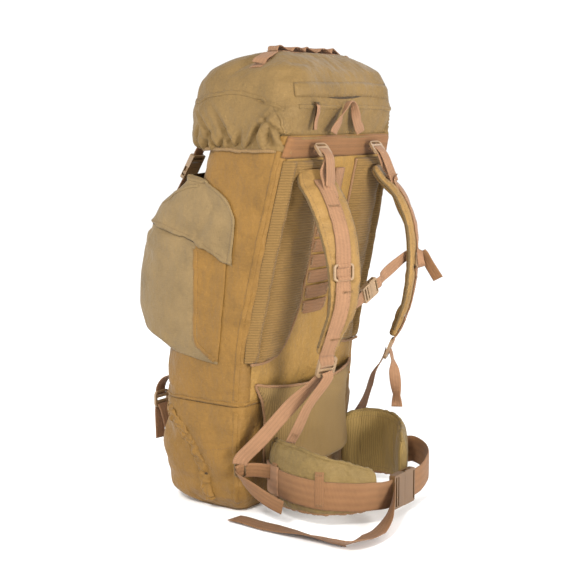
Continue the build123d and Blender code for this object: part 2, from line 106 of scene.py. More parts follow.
def add_stage():
    """Lights, world and floor."""
    for light in LIGHTS:
        add_light(*light)
    world = bpy.data.worlds.new("studio")
    world.use_nodes = True
    background = world.node_tree.nodes["Background"]
    background.inputs["Color"].default_value = (1, 1, 1, 1)
    background.inputs["Strength"].default_value = WORLD_STRENGTH
    bpy.context.scene.world = world
    bpy.context.scene.view_settings.view_transform = "Standard"
    mesh = bpy.data.meshes.new("floor")
    corners = [(x * FLOOR_HALF, y * FLOOR_HALF, 0) for x, y in ((-1, -1), (1, -1), (1, 1), (-1, 1))]
    mesh.from_pydata(corners, [], [(0, 1, 2, 3)])
    floor = add_item("floor", mesh)
    floor.data.materials.append(plain("floor_paint", FLOOR_COLOUR, FLOOR_ROUGH))


# ---------------------------------------------------------------- materials
LEVEL = 0.50         # the whole palette against the studio's light


def shade(colour, gain):
    """Palette colour at the studio's level."""
    return (*[min(1, c * gain * LEVEL) for c in colour[:3]], 1)


def new_material(name, rough, sheen=0.0):
    """Material, its node tree and its shader."""
    material = bpy.data.materials.new(name)
    material.use_nodes = True
    tree = material.node_tree
    bsdf = tree.nodes["Principled BSDF"]
    bsdf.inputs["Roughness"].default_value = rough
    bsdf.inputs["Sheen Weight"].default_value = sheen
    bsdf.inputs["Sheen Roughness"].default_value = 0.5
    bsdf.inputs["Specular IOR Level"].default_value = 0.25
    return material, tree, bsdf


def new_node(tree, kind, inputs):
    """Shader node with its inputs set. A socket is linked, and anything else is a value."""
    node = tree.nodes.new("ShaderNode" + kind)
    for name, value in inputs.items():
        if isinstance(value, bpy.types.NodeSocket):
            tree.links.new(value, node.inputs[name])
        else:
            node.inputs[name].default_value = value
    return node


def plain(name, colour, rough):
    """Matt paint with a faint speckle."""
    material, tree, bsdf = new_material(name, rough)
    speckle = noise_node(tree, place(tree), 90, 3)
    bsdf_colour(tree, bsdf, [(0.3, shade(colour, 0.97)), (0.7, shade(colour, 1.0))], speckle)
    return material


def place(tree, scale=(1, 1, 1)):
    """Position in the piece's own frame, stretched by scale."""
    source = new_node(tree, "TexCoord", {})
    mapping = new_node(tree, "Mapping", {"Scale": scale, "Vector": source.outputs["Object"]})
    return mapping.outputs["Vector"]


def strap_place(tree, scale=(1, 1, 1)):
    """Across and along a strap: x is -1 to 1 over its width, y is metres along it."""
    source = new_node(tree, "Attribute", {})
    source.attribute_name = "strap"
    mapping = new_node(tree, "Mapping", {"Scale": scale, "Vector": source.outputs["Vector"]})
    return mapping.outputs["Vector"]


def noise_node(tree, vector, scale, detail=2.0, rough=0.5):
    """Soft noise from 0 to 1."""
    node = new_node(tree, "TexNoise", {"Scale": scale, "Detail": detail, "Roughness": rough,
                                       "Vector": vector})
    return node.outputs["Fac"]


def ribs(tree, vector, axis, pitch, soft=0.0):
    """Even ribs at a pitch in metres, along one axis of the vector."""
    node = new_node(tree, "TexWave", {"Scale": 2 * pi / (20 * pitch), "Distortion": soft,
                                      "Detail": 1.0, "Vector": vector})
    node.bands_direction = axis
    return node.outputs["Fac"]


def mix_values(tree, a, b, share):
    """Value between a and b."""
    return new_node(tree, "Mix", {"Factor": share, "A": a, "B": b}).outputs["Result"]


def bsdf_colour(tree, bsdf, stops, value):
    """Base colour from a ramp of (position, colour) stops."""
    ramp = new_node(tree, "ValToRGB", {"Fac": value})
    first, last = ramp.color_ramp.elements[0], ramp.color_ramp.elements[1]
    first.position, first.color = stops[0]
    last.position, last.color = stops[-1]
    for position, colour in stops[1:-1]:
        ramp.color_ramp.elements.new(position).color = colour
    tree.links.new(ramp.outputs["Color"], bsdf.inputs["Base Color"])


def add_bump(tree, bsdf, heights):
    """Chain of bumps, each (height value, strength, distance in metres)."""
    normal = None
    for height, strength, distance in heights:
        inputs = {"Strength": strength, "Distance": distance, "Height": height}
        if normal is not None:
            inputs["Normal"] = normal
        normal = new_node(tree, "Bump", inputs).outputs["Normal"]
    tree.links.new(normal, bsdf.inputs["Normal"])


def woven(name, colour, rough=0.66, sheen=0.05, crease=1.0):
    """Coated woven nylon: fine plain weave, slubs, faint blotches and shallow creases."""
    material, tree, bsdf = new_material(name, rough, sheen)
    weft = ribs(tree, place(tree), "Z", 0.0007, 0.6)
    warp = ribs(tree, place(tree, (1, 0.8, 0.12)), "DIAGONAL", 0.0008, 0.6)
    weave = mix_values(tree, weft, warp, 0.5)
    blotch = noise_node(tree, place(tree), 17, 5, 0.62)
    slub = noise_node(tree, place(tree, (1, 1, 6)), 120, 3, 0.7)
    tone = mix_values(tree, mix_values(tree, blotch, slub, 0.35), weave, 0.07)
    stops = [(0.32, shade(colour, 0.70)), (0.5, shade(colour, 0.97)), (0.68, shade(colour, 1.14))]
    bsdf_colour(tree, bsdf, stops, tone)
    folds = noise_node(tree, place(tree, (1, 1, 0.7)), 30, 4, 0.6)
    crumple = noise_node(tree, place(tree, (1, 1, 1.6)), 85, 3, 0.6)
    fine = noise_node(tree, place(tree), 420, 2, 0.5)
    add_bump(tree, bsdf, [(folds, 0.7 * crease, 0.010), (crumple, 0.5 * crease, 0.003),
                          (fine, 0.2, 0.0006), (weave, 0.08, 0.0003)])
    return material


def ribbed_mesh(name, colour, axis, pitch=0.0044):
    """Spacer mesh with even ribs, and pores between them."""
    material, tree, bsdf = new_material(name, 0.85, 0.06)
    rib = ribs(tree, place(tree), axis, pitch, 0.25)
    blotch = noise_node(tree, place(tree), 22, 4, 0.6)
    pores = new_node(tree, "TexVoronoi", {"Scale": 520, "Vector": place(tree)}).outputs["Distance"]
    tone = mix_values(tree, mix_values(tree, rib, pores, 0.3), blotch, 0.4)
    stops = [(0.24, shade(colour, 0.80)), (0.5, shade(colour, 1.0)), (0.78, shade(colour, 1.18))]
    bsdf_colour(tree, bsdf, stops, tone)
    add_bump(tree, bsdf, [(rib, 0.55, 0.0010), (pores, 0.3, 0.0006)])
    return material


def webbing(name, colour, pitch=0.0022):
    """Ribbed webbing: cross ribs and two lengthways lines."""
    material, tree, bsdf = new_material(name, 0.72, 0.05)
    rib = ribs(tree, strap_place(tree), "Y", pitch, 0.3)
    lines = ribs(tree, strap_place(tree), "X", 0.5, 0.0)
    fibre = noise_node(tree, strap_place(tree, (6, 500, 1)), 4, 3, 0.6)
    blotch = noise_node(tree, place(tree), 45, 3, 0.6)
    tone = mix_values(tree, mix_values(tree, rib, fibre, 0.5), blotch, 0.45)
    tone = mix_values(tree, tone, lines, 0.16)
    stops = [(0.28, shade(colour, 0.80)), (0.5, shade(colour, 1.0)), (0.72, shade(colour, 1.15))]
    bsdf_colour(tree, bsdf, stops, tone)
    add_bump(tree, bsdf, [(rib, 0.5, 0.0007), (lines, 0.35, 0.0006), (fibre, 0.25, 0.0004)])
    return material


def moulded(name, colour, rough=0.42):
    """Moulded acetal: satin, with faint flow marks."""
    material, tree, bsdf = new_material(name, rough)
    flow = noise_node(tree, place(tree, (1, 1, 0.4)), 60, 3, 0.5)
    stops = [(0.3, shade(colour, 0.9)), (0.7, shade(colour, 1.06))]
    bsdf_colour(tree, bsdf, stops, flow)
    grain = noise_node(tree, place(tree), 900, 2)
    add_bump(tree, bsdf, [(grain, 0.12, 0.0002)])
    bsdf.inputs["Specular IOR Level"].default_value = 0.5
    return material


def metal(name, colour, rough):
    """Cast or drawn metal with a worn finish."""
    material, tree, bsdf = new_material(name, rough)
    wear = noise_node(tree, place(tree), 300, 3)
    bsdf_colour(tree, bsdf, [(0.3, shade(colour, 0.85)), (0.7, shade(colour, 1.1))], wear)
    bsdf.inputs["Metallic"].default_value = 1.0
    add_bump(tree, bsdf, [(wear, 0.1, 0.0002)])
    return material


SIDE = woven("side_fabric", (0.328, 0.165, 0.029))
# painted light: the side fabric lightened, to make up for the shade that the pads and straps cast on the
# back cover
BACK = woven("back_panel_fabric_painted_light", (0.440, 0.243, 0.054))
# painted light: the side fabric made paler and greyer, standing in for the cool fill light on the
# pocket's front and hood
POCKET = woven("pocket_fabric", (0.323, 0.212, 0.087), crease=0.8)
LID = woven("lid_fabric", (0.290, 0.174, 0.053))
COLLAR = woven("collar_fabric", (0.15, 0.085, 0.028), crease=1.2)
PAD = woven("pad_fabric", (0.42, 0.236, 0.066))
BELT = woven("belt_fabric", (0.295, 0.190, 0.057))
MESH_FLAT = ribbed_mesh("back_mesh", (0.290, 0.163, 0.046), "Z")
MESH_UPRIGHT = ribbed_mesh("lumbar_mesh", (0.310, 0.190, 0.062), "X", 0.0034)
MESH_BELT = ribbed_mesh("belt_mesh", (0.360, 0.232, 0.070), "Y", 0.0036)
BAND = webbing("top_band_webbing", (0.330, 0.148, 0.050))
WEB = webbing("webbing", (0.435, 0.225, 0.112))
WEB_DARK = webbing("belt_webbing", (0.340, 0.163, 0.066))
BINDING = webbing("binding", (0.360, 0.190, 0.085), 0.003)
LID_EDGE = webbing("lid_binding", (0.360, 0.215, 0.085), 0.003)
# painted shade: darker than the other bindings, standing in for the shade on the shoulder pads' edges
EDGE = webbing("pad_binding_painted_shade", (0.190, 0.115, 0.040), 0.003)
PLASTIC = moulded("buckle_plastic", (0.420, 0.262, 0.132))
PLASTIC_DARK = moulded("belt_buckle_plastic", (0.200, 0.100, 0.034))
THREAD = moulded("thread", (0.190, 0.100, 0.030), 0.7)
THREAD_PALE = moulded("thread_pale", (0.480, 0.280, 0.130), 0.7)
ZIP_TAPE = webbing("zip_tape", (0.085, 0.048, 0.018))
SLIDER = metal("slider_metal", (0.30, 0.20, 0.11), 0.42)
BRASS = metal("brass", (0.50, 0.36, 0.14), 0.38)
SHEET = moulded("sheet_plastic", (0.03, 0.03, 0.035), 0.5)
ALUMINIUM = metal("aluminium", (0.62, 0.62, 0.64), 0.35)


# ---------------------------------------------------------------- reading the frame
TREES, BOXES, CENTRES = {}, {}, {}


def box(node):
    """A CAD node's lowest and highest corners, looked up once."""
    if node not in BOXES:
        BOXES[node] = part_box(node)
    return BOXES[node]


def node_tree(node):
    """Search tree over a CAD node's surface."""
    if node not in TREES:
        mesh = NODES[node].data
        TREES[node] = BVHTree.FromPolygons([v.co.copy() for v in mesh.vertices],
                                           [tuple(p.vertices) for p in mesh.polygons])
    return TREES[node]


def section(node, z, mid):
    """Front y, back y and half width of a CAD node's outer face at height z, where it has them."""
    tree = node_tree(node)
    front = tree.ray_cast(Vector((0.002, -1, z)), Vector((0, 1, 0)))[0]
    back = tree.ray_cast(Vector((0.002, 1, z)), Vector((0, -1, 0)))[0]
    if mid is None:
        mid = (front.y + back.y) / 2
    side = tree.ray_cast(Vector((1, mid, z)), Vector((-1, 0, 0)))[0]
    return [front and front.y, back and back.y, side and side.x]


def table(node, levels, mid=None):
    """Sections at even heights, as a function of z."""
    low, high = box(node)
    heights = np.linspace(low.z + 0.5 * MM, high.z - 0.5 * MM, levels)
    rows = [section(node, z, mid) for z in heights]
    known = [[(z, row[k]) for z, row in zip(heights, rows) if row[k] is not None]
             for k in range(3)]
    known = [(np.array([z for z, _ in pairs]), np.array([v for _, v in pairs]))
             for pairs in known]
    return lambda z: [float(np.interp(z, at, value)) for at, value in known]


# ---------------------------------------------------------------- making pieces
def make(name, points, faces, material, body=None, stands_for=(), flat=False,
         centre=None):
    """New piece. An open shell names its centre, so that its faces look away from it."""
    mesh = bpy.data.meshes.new(name)
    mesh.from_pydata([tuple(p) for p in points], [], [tuple(f) for f in faces])
    mesh.validate()
    if centre is None:
        editor = bmesh.new()
        editor.from_mesh(mesh)
        bmesh.ops.recalc_face_normals(editor, faces=editor.faces)
        editor.to_mesh(mesh)
        editor.free()
    else:
        CENTRES[name] = Vector(centre)
        if sum((f.center - Vector(centre)).dot(f.normal) * f.area for f in mesh.polygons) < 0:
            mesh.flip_normals()
    mesh.polygons.foreach_set("use_smooth", [not flat] * len(mesh.polygons))
    piece = add_item(name, mesh)
    for entry in material if isinstance(material, list) else [material]:
        mesh.materials.append(entry)
    if body:
        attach(piece, body)
    if stands_for:
        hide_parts(*stands_for)
    return piece


def grid_faces(rows, columns, closed):
    """Quads of a grid; closed joins the last column to the first."""
    faces = []
    for r in range(rows - 1):
        for c in range(columns if closed else columns - 1):
            d = (c + 1) % columns
            faces.append((r * columns + c, r * columns + d, (r + 1) * columns + d,
                          (r + 1) * columns + c))
    return faces


def end_caps(ring, total):
    """Faces that close both ends of a swept shape."""
    return [tuple(range(ring))[::-1], tuple(range(total - ring, total))]


def points_of(piece):
    """Array of the piece's points."""
    flat = np.empty(len(piece.data.vertices) * 3)
    piece.data.vertices.foreach_get("co", flat)
    return flat.reshape(-1, 3)


def normals_of(piece):
    """Array of the normals at the piece's points."""
    flat = np.empty(len(piece.data.vertices) * 3)
    piece.data.update()
    piece.data.vertices.foreach_get("normal", flat)
    return flat.reshape(-1, 3)


def set_points(piece, points):
    """Moves the piece's points."""
    piece.data.vertices.foreach_set("co", np.asarray(points, float).ravel())
    piece.data.update()


def push_out(piece, amounts):
    """Moves each point along its normal."""
    set_points(piece, points_of(piece) + normals_of(piece) * amounts[:, None])


def fade(distance, reach):
    """0 to 1 over a reach."""
    return np.clip(distance / reach, 0, 1)


def between(value, places, results):
    """Straight-line value from a short table."""
    return float(np.interp(value, places, results))


def apply_modifiers(piece):
    """Replaces the piece's mesh with what its modifiers make of it."""
    graph = bpy.context.evaluated_depsgraph_get()
    mesh = bpy.data.meshes.new_from_object(piece.evaluated_get(graph))
    piece.modifiers.clear()
    piece.data = mesh
    mesh.polygons.foreach_set("use_smooth", [True] * len(mesh.polygons))


def puff(piece, pinned, pressure=4.0, spare=0.03, cap=9 * MM, bend=0.5, frames=20):
    """Cloth under pressure, held where pinned is 1. spare is extra cloth, cap the furthest move."""
    rest = points_of(piece)
    group = piece.vertex_groups.new(name="held")
    for index, weight in enumerate(pinned):
        if weight > 0:
            group.add([index], float(weight), "REPLACE")
    modifier = piece.modifiers.new("cloth", "CLOTH")
    cloth = modifier.settings
    cloth.quality = 5
    cloth.mass = 0.2
    cloth.bending_stiffness = bend
    cloth.use_pressure = True
    cloth.uniform_pressure_force = pressure
    cloth.shrink_min = -spare
    cloth.vertex_group_mass = "held"
    cloth.effector_weights.gravity = 0
    modifier.collision_settings.use_collision = False
    scene = bpy.context.scene
    for step in range(1, frames + 1):
        scene.frame_set(step)
    graph = bpy.context.evaluated_depsgraph_get()
    moved = points_of(piece.evaluated_get(graph))
    piece.modifiers.clear()
    piece.vertex_groups.clear()
    scene.frame_set(1)
    shift = moved - rest
    length = np.linalg.norm(shift, axis=1, keepdims=True) + 1e-9
    set_points(piece, rest + shift * cap * np.tanh(length / cap) / length)


def rumple(piece, depth, size, stretch=(1, 1, 1), seed=0, weight=None):
    """Creases from ridged noise, along the normals."""
    points = points_of(piece)
    amounts = np.empty(len(points))
    for index, point in enumerate(points):
        spot = Vector([point[k] * stretch[k] / size + seed * 7.3 for k in range(3)])
        ridge = 1 - abs(noise.noise(spot)) * 2.2
        soft = noise.noise(spot * 0.45 + Vector((5, 5, 5)))
        amounts[index] = depth * (0.55 * ridge + 0.6 * soft)
    if weight is not None:
        amounts *= weight
    push_out(piece, amounts)


def near_path(points, path, width):
    """1 on the path, falling to 0 a few widths away."""
    path = np.asarray(path, float)
    best = np.full(len(points), 1e9)
    for a, b in zip(path, path[1:]):
        run = b - a
        t = np.clip(((points - a) @ run) / max(run @ run, 1e-12), 0, 1)
        best = np.minimum(best, np.linalg.norm(points - a - t[:, None] * run, axis=1))
    return np.exp(-(best / width) ** 2)


def dent(piece, path, width, depth):
    """A groove (or a ridge, when depth is negative) along a path on the piece."""
    push_out(piece, -near_path(points_of(piece), path, width) * depth)


def finish_cloth(piece, thickness=0.0):
    """Smooths the mesh once and gives an open shell its thickness."""
    if thickness:
        wall = piece.modifiers.new("wall", "SOLIDIFY")
        wall.thickness = thickness
        wall.offset = -1
    smooth = piece.modifiers.new("smooth", "SUBSURF")
    smooth.levels = smooth.render_levels = 1
    apply_modifiers(piece)


def curve_points(points, step):
    """Even samples of a smooth curve through the points."""
    p = [np.asarray(q, float) for q in points]
    p = [2 * p[0] - p[1]] + p + [2 * p[-1] - p[-2]]
    dense = []
    for a, b, c, d in zip(p, p[1:], p[2:], p[3:]):
        for t in np.linspace(0, 1, 24, endpoint=False):
            dense.append(0.5 * (2 * b + (c - a) * t + (2 * a - 5 * b + 4 * c - d) * t ** 2
                                + (3 * b - a - 3 * c + d) * t ** 3))
    dense.append(p[-2])
    dense = np.array(dense)
    run = np.concatenate([[0], np.cumsum(np.linalg.norm(np.diff(dense, axis=0), axis=1))])
    count = max(3, int(run[-1] / step) + 1)
    at = np.linspace(0, run[-1], count)
    return np.stack([np.interp(at, run, dense[:, k]) for k in range(3)], 1), at


def unit(rows):
    """Rows scaled to a length of 1."""
    return rows / np.linalg.norm(rows, axis=-1, keepdims=True)


def mark_strap(piece, marks):
    """Stores each point's place across and along its webbing, which strap_place reads."""
    mark = piece.data.attributes.new("strap", "FLOAT_VECTOR", "POINT")
    mark.data.foreach_set("vector", np.array(marks, float).ravel())
    return piece


def strap(name, points, across, width, material, body=None, stands_for=(), thick=1.7 * MM,
          step=3 * MM, wave=0.0, cup=0.0, widths=None):
    """Flat webbing along a curve. across gives its width direction at each point."""
    line, run = curve_points(points, step)
    if np.ndim(across) == 1:
        across = [across] * len(points)
    spots = np.linspace(0, 1, len(across))
    at = run / run[-1]
    sideways = np.stack([np.interp(at, spots, np.asarray(across, float)[:, k])
                         for k in range(3)], 1)
    tangent = unit(np.gradient(line, axis=0))
    sideways = unit(sideways - (sideways * tangent).sum(1, keepdims=True) * tangent)
    face = np.cross(tangent, sideways)
    profile = [-1, -0.92, -0.45, 0, 0.45, 0.92, 1]
    verts, marks = [], []
    for index in range(len(line)):
        half = (width if widths is None else float(np.interp(at[index], *widths))) / 2
        ripple = wave * sin(run[index] / (17 * MM) + 1.3)
        for side in (1, -1):
            for u in profile if side > 0 else profile[::-1]:
                edge = 0.45 if abs(u) == 1 else 1
                lift = side * edge * thick / 2 + cup * (u * u - 0.4) + ripple * u
                verts.append(line[index] + sideways[index] * u * half + face[index] * lift)
                marks.append((u, run[index], side))
    ring = 2 * len(profile)
    faces = grid_faces(len(line), ring, True) + end_caps(ring, len(verts))
    return mark_strap(make(name, verts, faces, material, body, stands_for), marks)


def surface_tree(piece):
    """Search tree over a piece, or over the outer faces only of a shell with a centre."""
    mesh, centre = piece.data, CENTRES.get(piece.name)
    faces = [tuple(f.vertices) for f in mesh.polygons
             if centre is None or (f.center - centre).dot(f.normal) > 0]
    return BVHTree.FromPolygons([v.co.copy() for v in mesh.vertices], faces)


def on_surface(tree, point):
    """Nearest place on a surface and its outward normal."""
    spot, normal, _, _ = tree.find_nearest(Vector(point))
    return np.array(spot), np.array(normal)


def drop(tree, x, y):
    """The surface below a place high above it."""
    return np.array(tree.ray_cast(Vector((x, y, 0.95)), Vector((0, 0, -1)))[0])


def clear(piece, tree, margin, reach=40 * MM):
    """Moves points that lie under another piece's surface to just above it."""
    points = points_of(piece)
    for index, point in enumerate(points):
        spot, normal = on_surface(tree, point)
        gap = point - spot
        if gap @ normal < margin and np.linalg.norm(gap) < reach:
            points[index] = point + normal * (margin - gap @ normal)
    set_points(piece, points)


def lay_on(web, tree, thick=1.7 * MM):
    """Lays webbing on a pad, so that neither of its faces is inside the pad."""
    points = points_of(web)
    sides = np.empty(len(points) * 3)
    web.data.attributes["strap"].data.foreach_get("vector", sides)
    sides = sides.reshape(-1, 3)[:, 2]
    near = [on_surface(tree, point) for point in points]
    gaps = np.array([(p - spot) @ normal for p, (spot, normal) in zip(points, near)])
    outer = 1 if gaps[sides > 0].mean() > gaps[sides < 0].mean() else -1
    for index, (spot, normal) in enumerate(near):
        least = 0.4 * MM + (thick if sides[index] * outer > 0 else 0)
        if gaps[index] < least and np.linalg.norm(points[index] - spot) < 16 * MM:
            points[index] = spot + normal * least
    set_points(web, points)


def applied(name, tree, points, width, lift, material, body, stands_for=(), slot="webbing",
            columns=5, step=4 * MM, sink=0.4 * MM):
    """Strip sewn onto a surface, following its shape: a seam, a binding or webbing."""
    line, run = curve_points(points, step)
    rough = [on_surface(tree, p) for p in line]
    line = np.array([r[0] for r in rough])
    normals = np.array([r[1] for r in rough])
    tangent = np.gradient(line, axis=0)
    sideways = np.cross(normals, tangent)
    sideways /= np.linalg.norm(sideways, axis=1, keepdims=True) + 1e-9
    verts, marks = [], []
    for index in range(len(line)):
        top, bottom = [], []
        for c in range(columns):
            u = 2 * c / (columns - 1) - 1
            spot, normal = on_surface(tree, line[index] + sideways[index] * u * width / 2)
            rise = lift * (0.35 if abs(u) == 1 else 1.0)
            top.append((spot + normal * rise, (u, run[index], 1)))
            bottom.append((spot - normal * sink, (u, run[index], -1)))
        for point, mark in top + bottom[::-1]:
            verts.append(point)
            marks.append(mark)
    ring = 2 * columns
    faces = grid_faces(len(line), ring, True) + end_caps(ring, len(verts))
    return mark_strap(make(name, verts, faces, material, body, stands_for), marks)


STITCHES = {}


def stitch(body, points, tree=None, length=2.8 * MM, gap=1.6 * MM, thread=0.35 * MM, pale=False):
    """Row of stitches along a path, laid on a surface when its tree is given."""
    line, run = curve_points(points, length + gap)
    verts, faces = STITCHES.setdefault((body, pale), ([], []))
    for a, b in zip(line, line[1:]):
        if tree is not None:
            (a, up), (b, _) = on_surface(tree, a), on_surface(tree, b)
        else:
            up = np.array((0, 0, 1.0))
        run = b - a
        size = np.linalg.norm(run)
        if size < 1e-6:
            continue
        run /= size
        side = np.cross(up, run)
        side /= np.linalg.norm(side) + 1e-9
        up = np.cross(run, side)
        start, end = a + run * gap / 2, b - run * gap / 2
        base = len(verts)
        for spot, share in ((start, 0.0), ((start + end) / 2, 1.0), (end, 0.0)):
            rise = thread * (0.2 + 1.1 * share)
            for w, h in ((-1, 0), (0, 1), (1, 0)):
                verts.append(spot + side * w * thread + up * (rise * h + 0.1 * thread))
        for k in (0, 3):
            faces.append((base + k, base + k + 1, base + k + 4, base + k + 3))
            faces.append((base + k + 1, base + k + 2, base + k + 5, base + k + 4))


def bartack(body, centre, across, along, width, length=7 * MM, pale=True):
    """Dense block of stitches that locks webbing down."""
    centre, across, along = (np.asarray(v, float) for v in (centre, across, along))
    across = across / np.linalg.norm(across)
    along = along / np.linalg.norm(along)
    rows = max(4, int(length / (1.3 * MM)))
    for row in range(rows):
        at = centre + along * length * (row / (rows - 1) - 0.5)
        stitch(body, [at - across * width / 2, at, at + across * width / 2], None,
               width * 0.98, 0.2 * MM, 0.4 * MM, pale)


def add_stitching():
    """One piece for each body's stitches of one thread."""
    for (body, pale), (verts, faces) in STITCHES.items():
        name = f"stitching_{body}" + ("_pale" if pale else "")
        make(name, verts, faces, THREAD_PALE if pale else THREAD, body)


# ---------------------------------------------------------------- outlines of the bag
# steps over half the back, its corner, the side, the front corner and half the front
COUNTS = (24, 6, 17, 13, 18)


def half_outline(y_front, y_back, half, front_r, back_r, counts=COUNTS):
    """Plan outline from the back's middle to the front's middle on the wearer's right."""
    n_back, n_turn, n_side, n_round, n_front = counts
    out = [((half - back_r) * k / n_back, y_back) for k in range(n_back)]
    for k in range(n_turn):
        a = pi / 2 * (1 - k / n_turn)
        out.append((half - back_r + back_r * cos(a), y_back - back_r + back_r * sin(a)))
    start, end = y_back - back_r, y_front + front_r
    out += [(half, start + (end - start) * k / n_side) for k in range(n_side)]
    for k in range(n_round):
        a = -pi / 2 * k / n_round
        out.append((half - front_r + front_r * cos(a), y_front + front_r + front_r * sin(a)))
    out += [((half - front_r) * (1 - k / n_front), y_front) for k in range(n_front + 1)]
    return out


def full_outline(*shape):
    """Closed plan outline, from the same values as half_outline."""
    right = half_outline(*shape)
    return right + [(-x, y) for x, y in right[-2:0:-1]]


SEAM_COLUMN = COUNTS[0] + COUNTS[1] // 2


def ring_rows(levels, section_at):
    """Outlines of the bag at several heights."""
    rows = []
    for z in levels:
        y_front, y_back, half = section_at(z)
        depth = y_back - y_front
        corners = min(FRONT_R, 0.42 * depth), min(BACK_R, 0.42 * depth)
        rows.append([(x, y, z) for x, y in full_outline(y_front, y_back, half, *corners)])
    return rows


FRONT_R, BACK_R = 55 * MM, 18 * MM
BAG = table("main_bag", 40)
BOTTOM = table("bottom_compartment", 24)
BAG_CLOTH = 2.4 * MM
SLIDER_WAY = -0.1385     # the compartment's front stays behind this y, clear of the zip's slider


def bag_wall(z):
    """Front y, back y and half width of the bag or the compartment below it."""
    return BAG(z) if z > box("main_bag")[0].z else BOTTOM(z)


def pins(rows, columns, held_rows, held_columns):
    """1 for the points of a grid that the simulation holds."""
    weight = np.zeros((rows, columns))
    weight[list(held_rows), :] = 1
    weight[:, list(held_columns)] = 1
    return weight.ravel()


def back_columns(columns):
    """Columns of an outline that lie against the back panel, seams included."""
    return list(range(SEAM_COLUMN + 1)) + list(range(columns - SEAM_COLUMN, columns))


def build_main_bag():
    """Lofted bag whose sides and front swell between the seams."""
    low, high = box("main_bag")
    levels = np.linspace(low.z, high.z, 62)
    rows = ring_rows(levels, BAG)
    columns = len(rows[0])
    bag = make("main_bag_shell", sum(rows, []), grid_faces(len(rows), columns, True), SIDE,
               "pack", ["main_bag"], centre=(0, 0, 0.42))
    puff(bag, pins(len(rows), columns, (0, len(rows) - 1), back_columns(columns)), 2.2, 0.035,
         6 * MM, 0.4)
    points = points_of(bag)
    weight = fade(points[:, 2] - low.z, 0.03) * fade(high.z - points[:, 2], 0.02)
    rumple(bag, 3.4 * MM, 80 * MM, (1, 1, 1.6), 9, weight * (points[:, 1] < 0.09))
    finish_cloth(bag, BAG_CLOTH)
    return bag


def build_bottom():
    """Zipped bottom compartment, slack and folded."""
    low, high = box("bottom_compartment")
    levels = [low.z + (high.z - low.z) * (k / 30) ** 1.15 for k in range(31)]
    rows = ring_rows(levels, BOTTOM)
    columns = len(rows[0])
    floor_ring = [(x * 0.97, -0.039 + (y + 0.039) * 0.96, low.z) for x, y, _ in rows[0]]
    rows = [floor_ring] + rows
    shell = make("bottom_compartment_shell", sum(rows, []),
                 grid_faces(len(rows), columns, True), SIDE, "pack", ["bottom_compartment"],
                 centre=(0, -0.045, 0.1))
    puff(shell, pins(len(rows), columns, (0, 1, len(rows) - 1), back_columns(columns)), 4.0, 0.05,
         8 * MM, 0.35)
    points = points_of(shell)
    weight = fade(points[:, 2] - 0.012, 0.03) * fade(0.188 - points[:, 2], 0.03)
    weight *= points[:, 1] < 0.040
    turn = points[:, 1] * 0.6 + points[:, 2] * 0.8
    folds = np.sin(turn / (15 * MM) + 2.2 * np.sin(points[:, 1] * 21)
                   + 3 * np.abs(points[:, 0]) / 0.17)
    push_out(shell, folds * 2.6 * MM * weight)
    rumple(shell, 4.6 * MM, 46 * MM, (1, 0.7, 1.5), 3, weight)
    points = points_of(shell)
    front = (points[:, 1] < -0.13) & (points[:, 2] > 0.12)
    points[front, 1] = np.maximum(points[front, 1], SLIDER_WAY)
    set_points(shell, points)
    finish_cloth(shell, BAG_CLOTH)
    return shell


# ---------------------------------------------------------------- front pocket and its hood
POCKET_LOW = table("front_pocket", 30, -0.04)
HOOD = table("pocket_flap", 20, -0.04)
# z and y of the hood's seam on the bag, in millimetres
HOOD_EDGE = ([430, 462, 505, 536, 564, 574], [32, 38, 41, 22, -23, -60])
HOOD_TOP = 0.5745
SIMPLE_Z = 0.45          # a height where the pocket's outline is plain


def pocket_section(z, lift):
    """Front y and half width of the pocket, blended into the bag at its top and bottom."""
    low, top = box("front_pocket")[0].z, box("pocket_flap")[1].z
    source = POCKET_LOW if z < box("pocket_flap")[0].z + 0.02 else HOOD
    y_front, _, half = source(z)
    if source is HOOD and z < box("front_pocket")[1].z:
        y_front = POCKET_LOW(z)[0]
    bag_front, _, bag_half = bag_wall(z)
    ease = min(1, max(0, (z - low + 2 * MM) / (20 * MM))) ** 0.4
    ease = min(ease, max(0, (top + 12 * MM - z) / (30 * MM)) ** 0.6)
    y_front = bag_front - 1.5 * MM + (y_front - bag_front + 1.5 * MM) * ease - lift
    half = bag_half + 1.0 * MM + max(0, half - bag_half) * ease + lift * 0.8
    return y_front, half


def pocket_ring(z, back_y, lift, side=22, turn=16, front=22):
    """Open outline from the right side seam round the front to the left side seam."""
    y_front, half = pocket_section(z, lift)
    radius = min(70 * MM, 0.45 * (back_y - y_front))
    bag_half = bag_wall(z)[2] + 0.8 * MM
    right = []
    for k in range(side):
        y = back_y + (y_front + radius - back_y) * k / side
        ease = min(1, max(0, (back_y - y) / (48 * MM)))
        ease = ease * ease * (3 - 2 * ease)
        right.append((bag_half + (half - bag_half) * ease, y, z))
    for k in range(turn):
        a = -pi / 2 * k / turn
        right.append((half - radius + radius * cos(a), y_front + radius + radius * sin(a), z))
    right += [((half - radius) * (1 - k / front), y_front, z) for k in range(front + 1)]
    return right + [(-x, y, w) for x, y, w in right[-2::-1]]


def mouth_z(y):
    """Height of the hood's lower edge at a place along the side."""
    return between(y, [-0.19, -0.139, -0.109, -0.036, 0.030], [0.486, 0.484, 0.482, 0.458, 0.426])


def pocket_back(z):
    """How far back the pocket's side seam is."""
    return between(z, [0.25, 0.30, 0.42, 0.50], [0.006, 0.012, 0.024, 0.030])


def pocket_low(y):
    """Height of the pocket's lower edge, which is lowest at the back."""
    return between(y, [-0.19, -0.163, -0.111, 0.010, 0.030], [0.290, 0.286, 0.274, 0.260, 0.257])


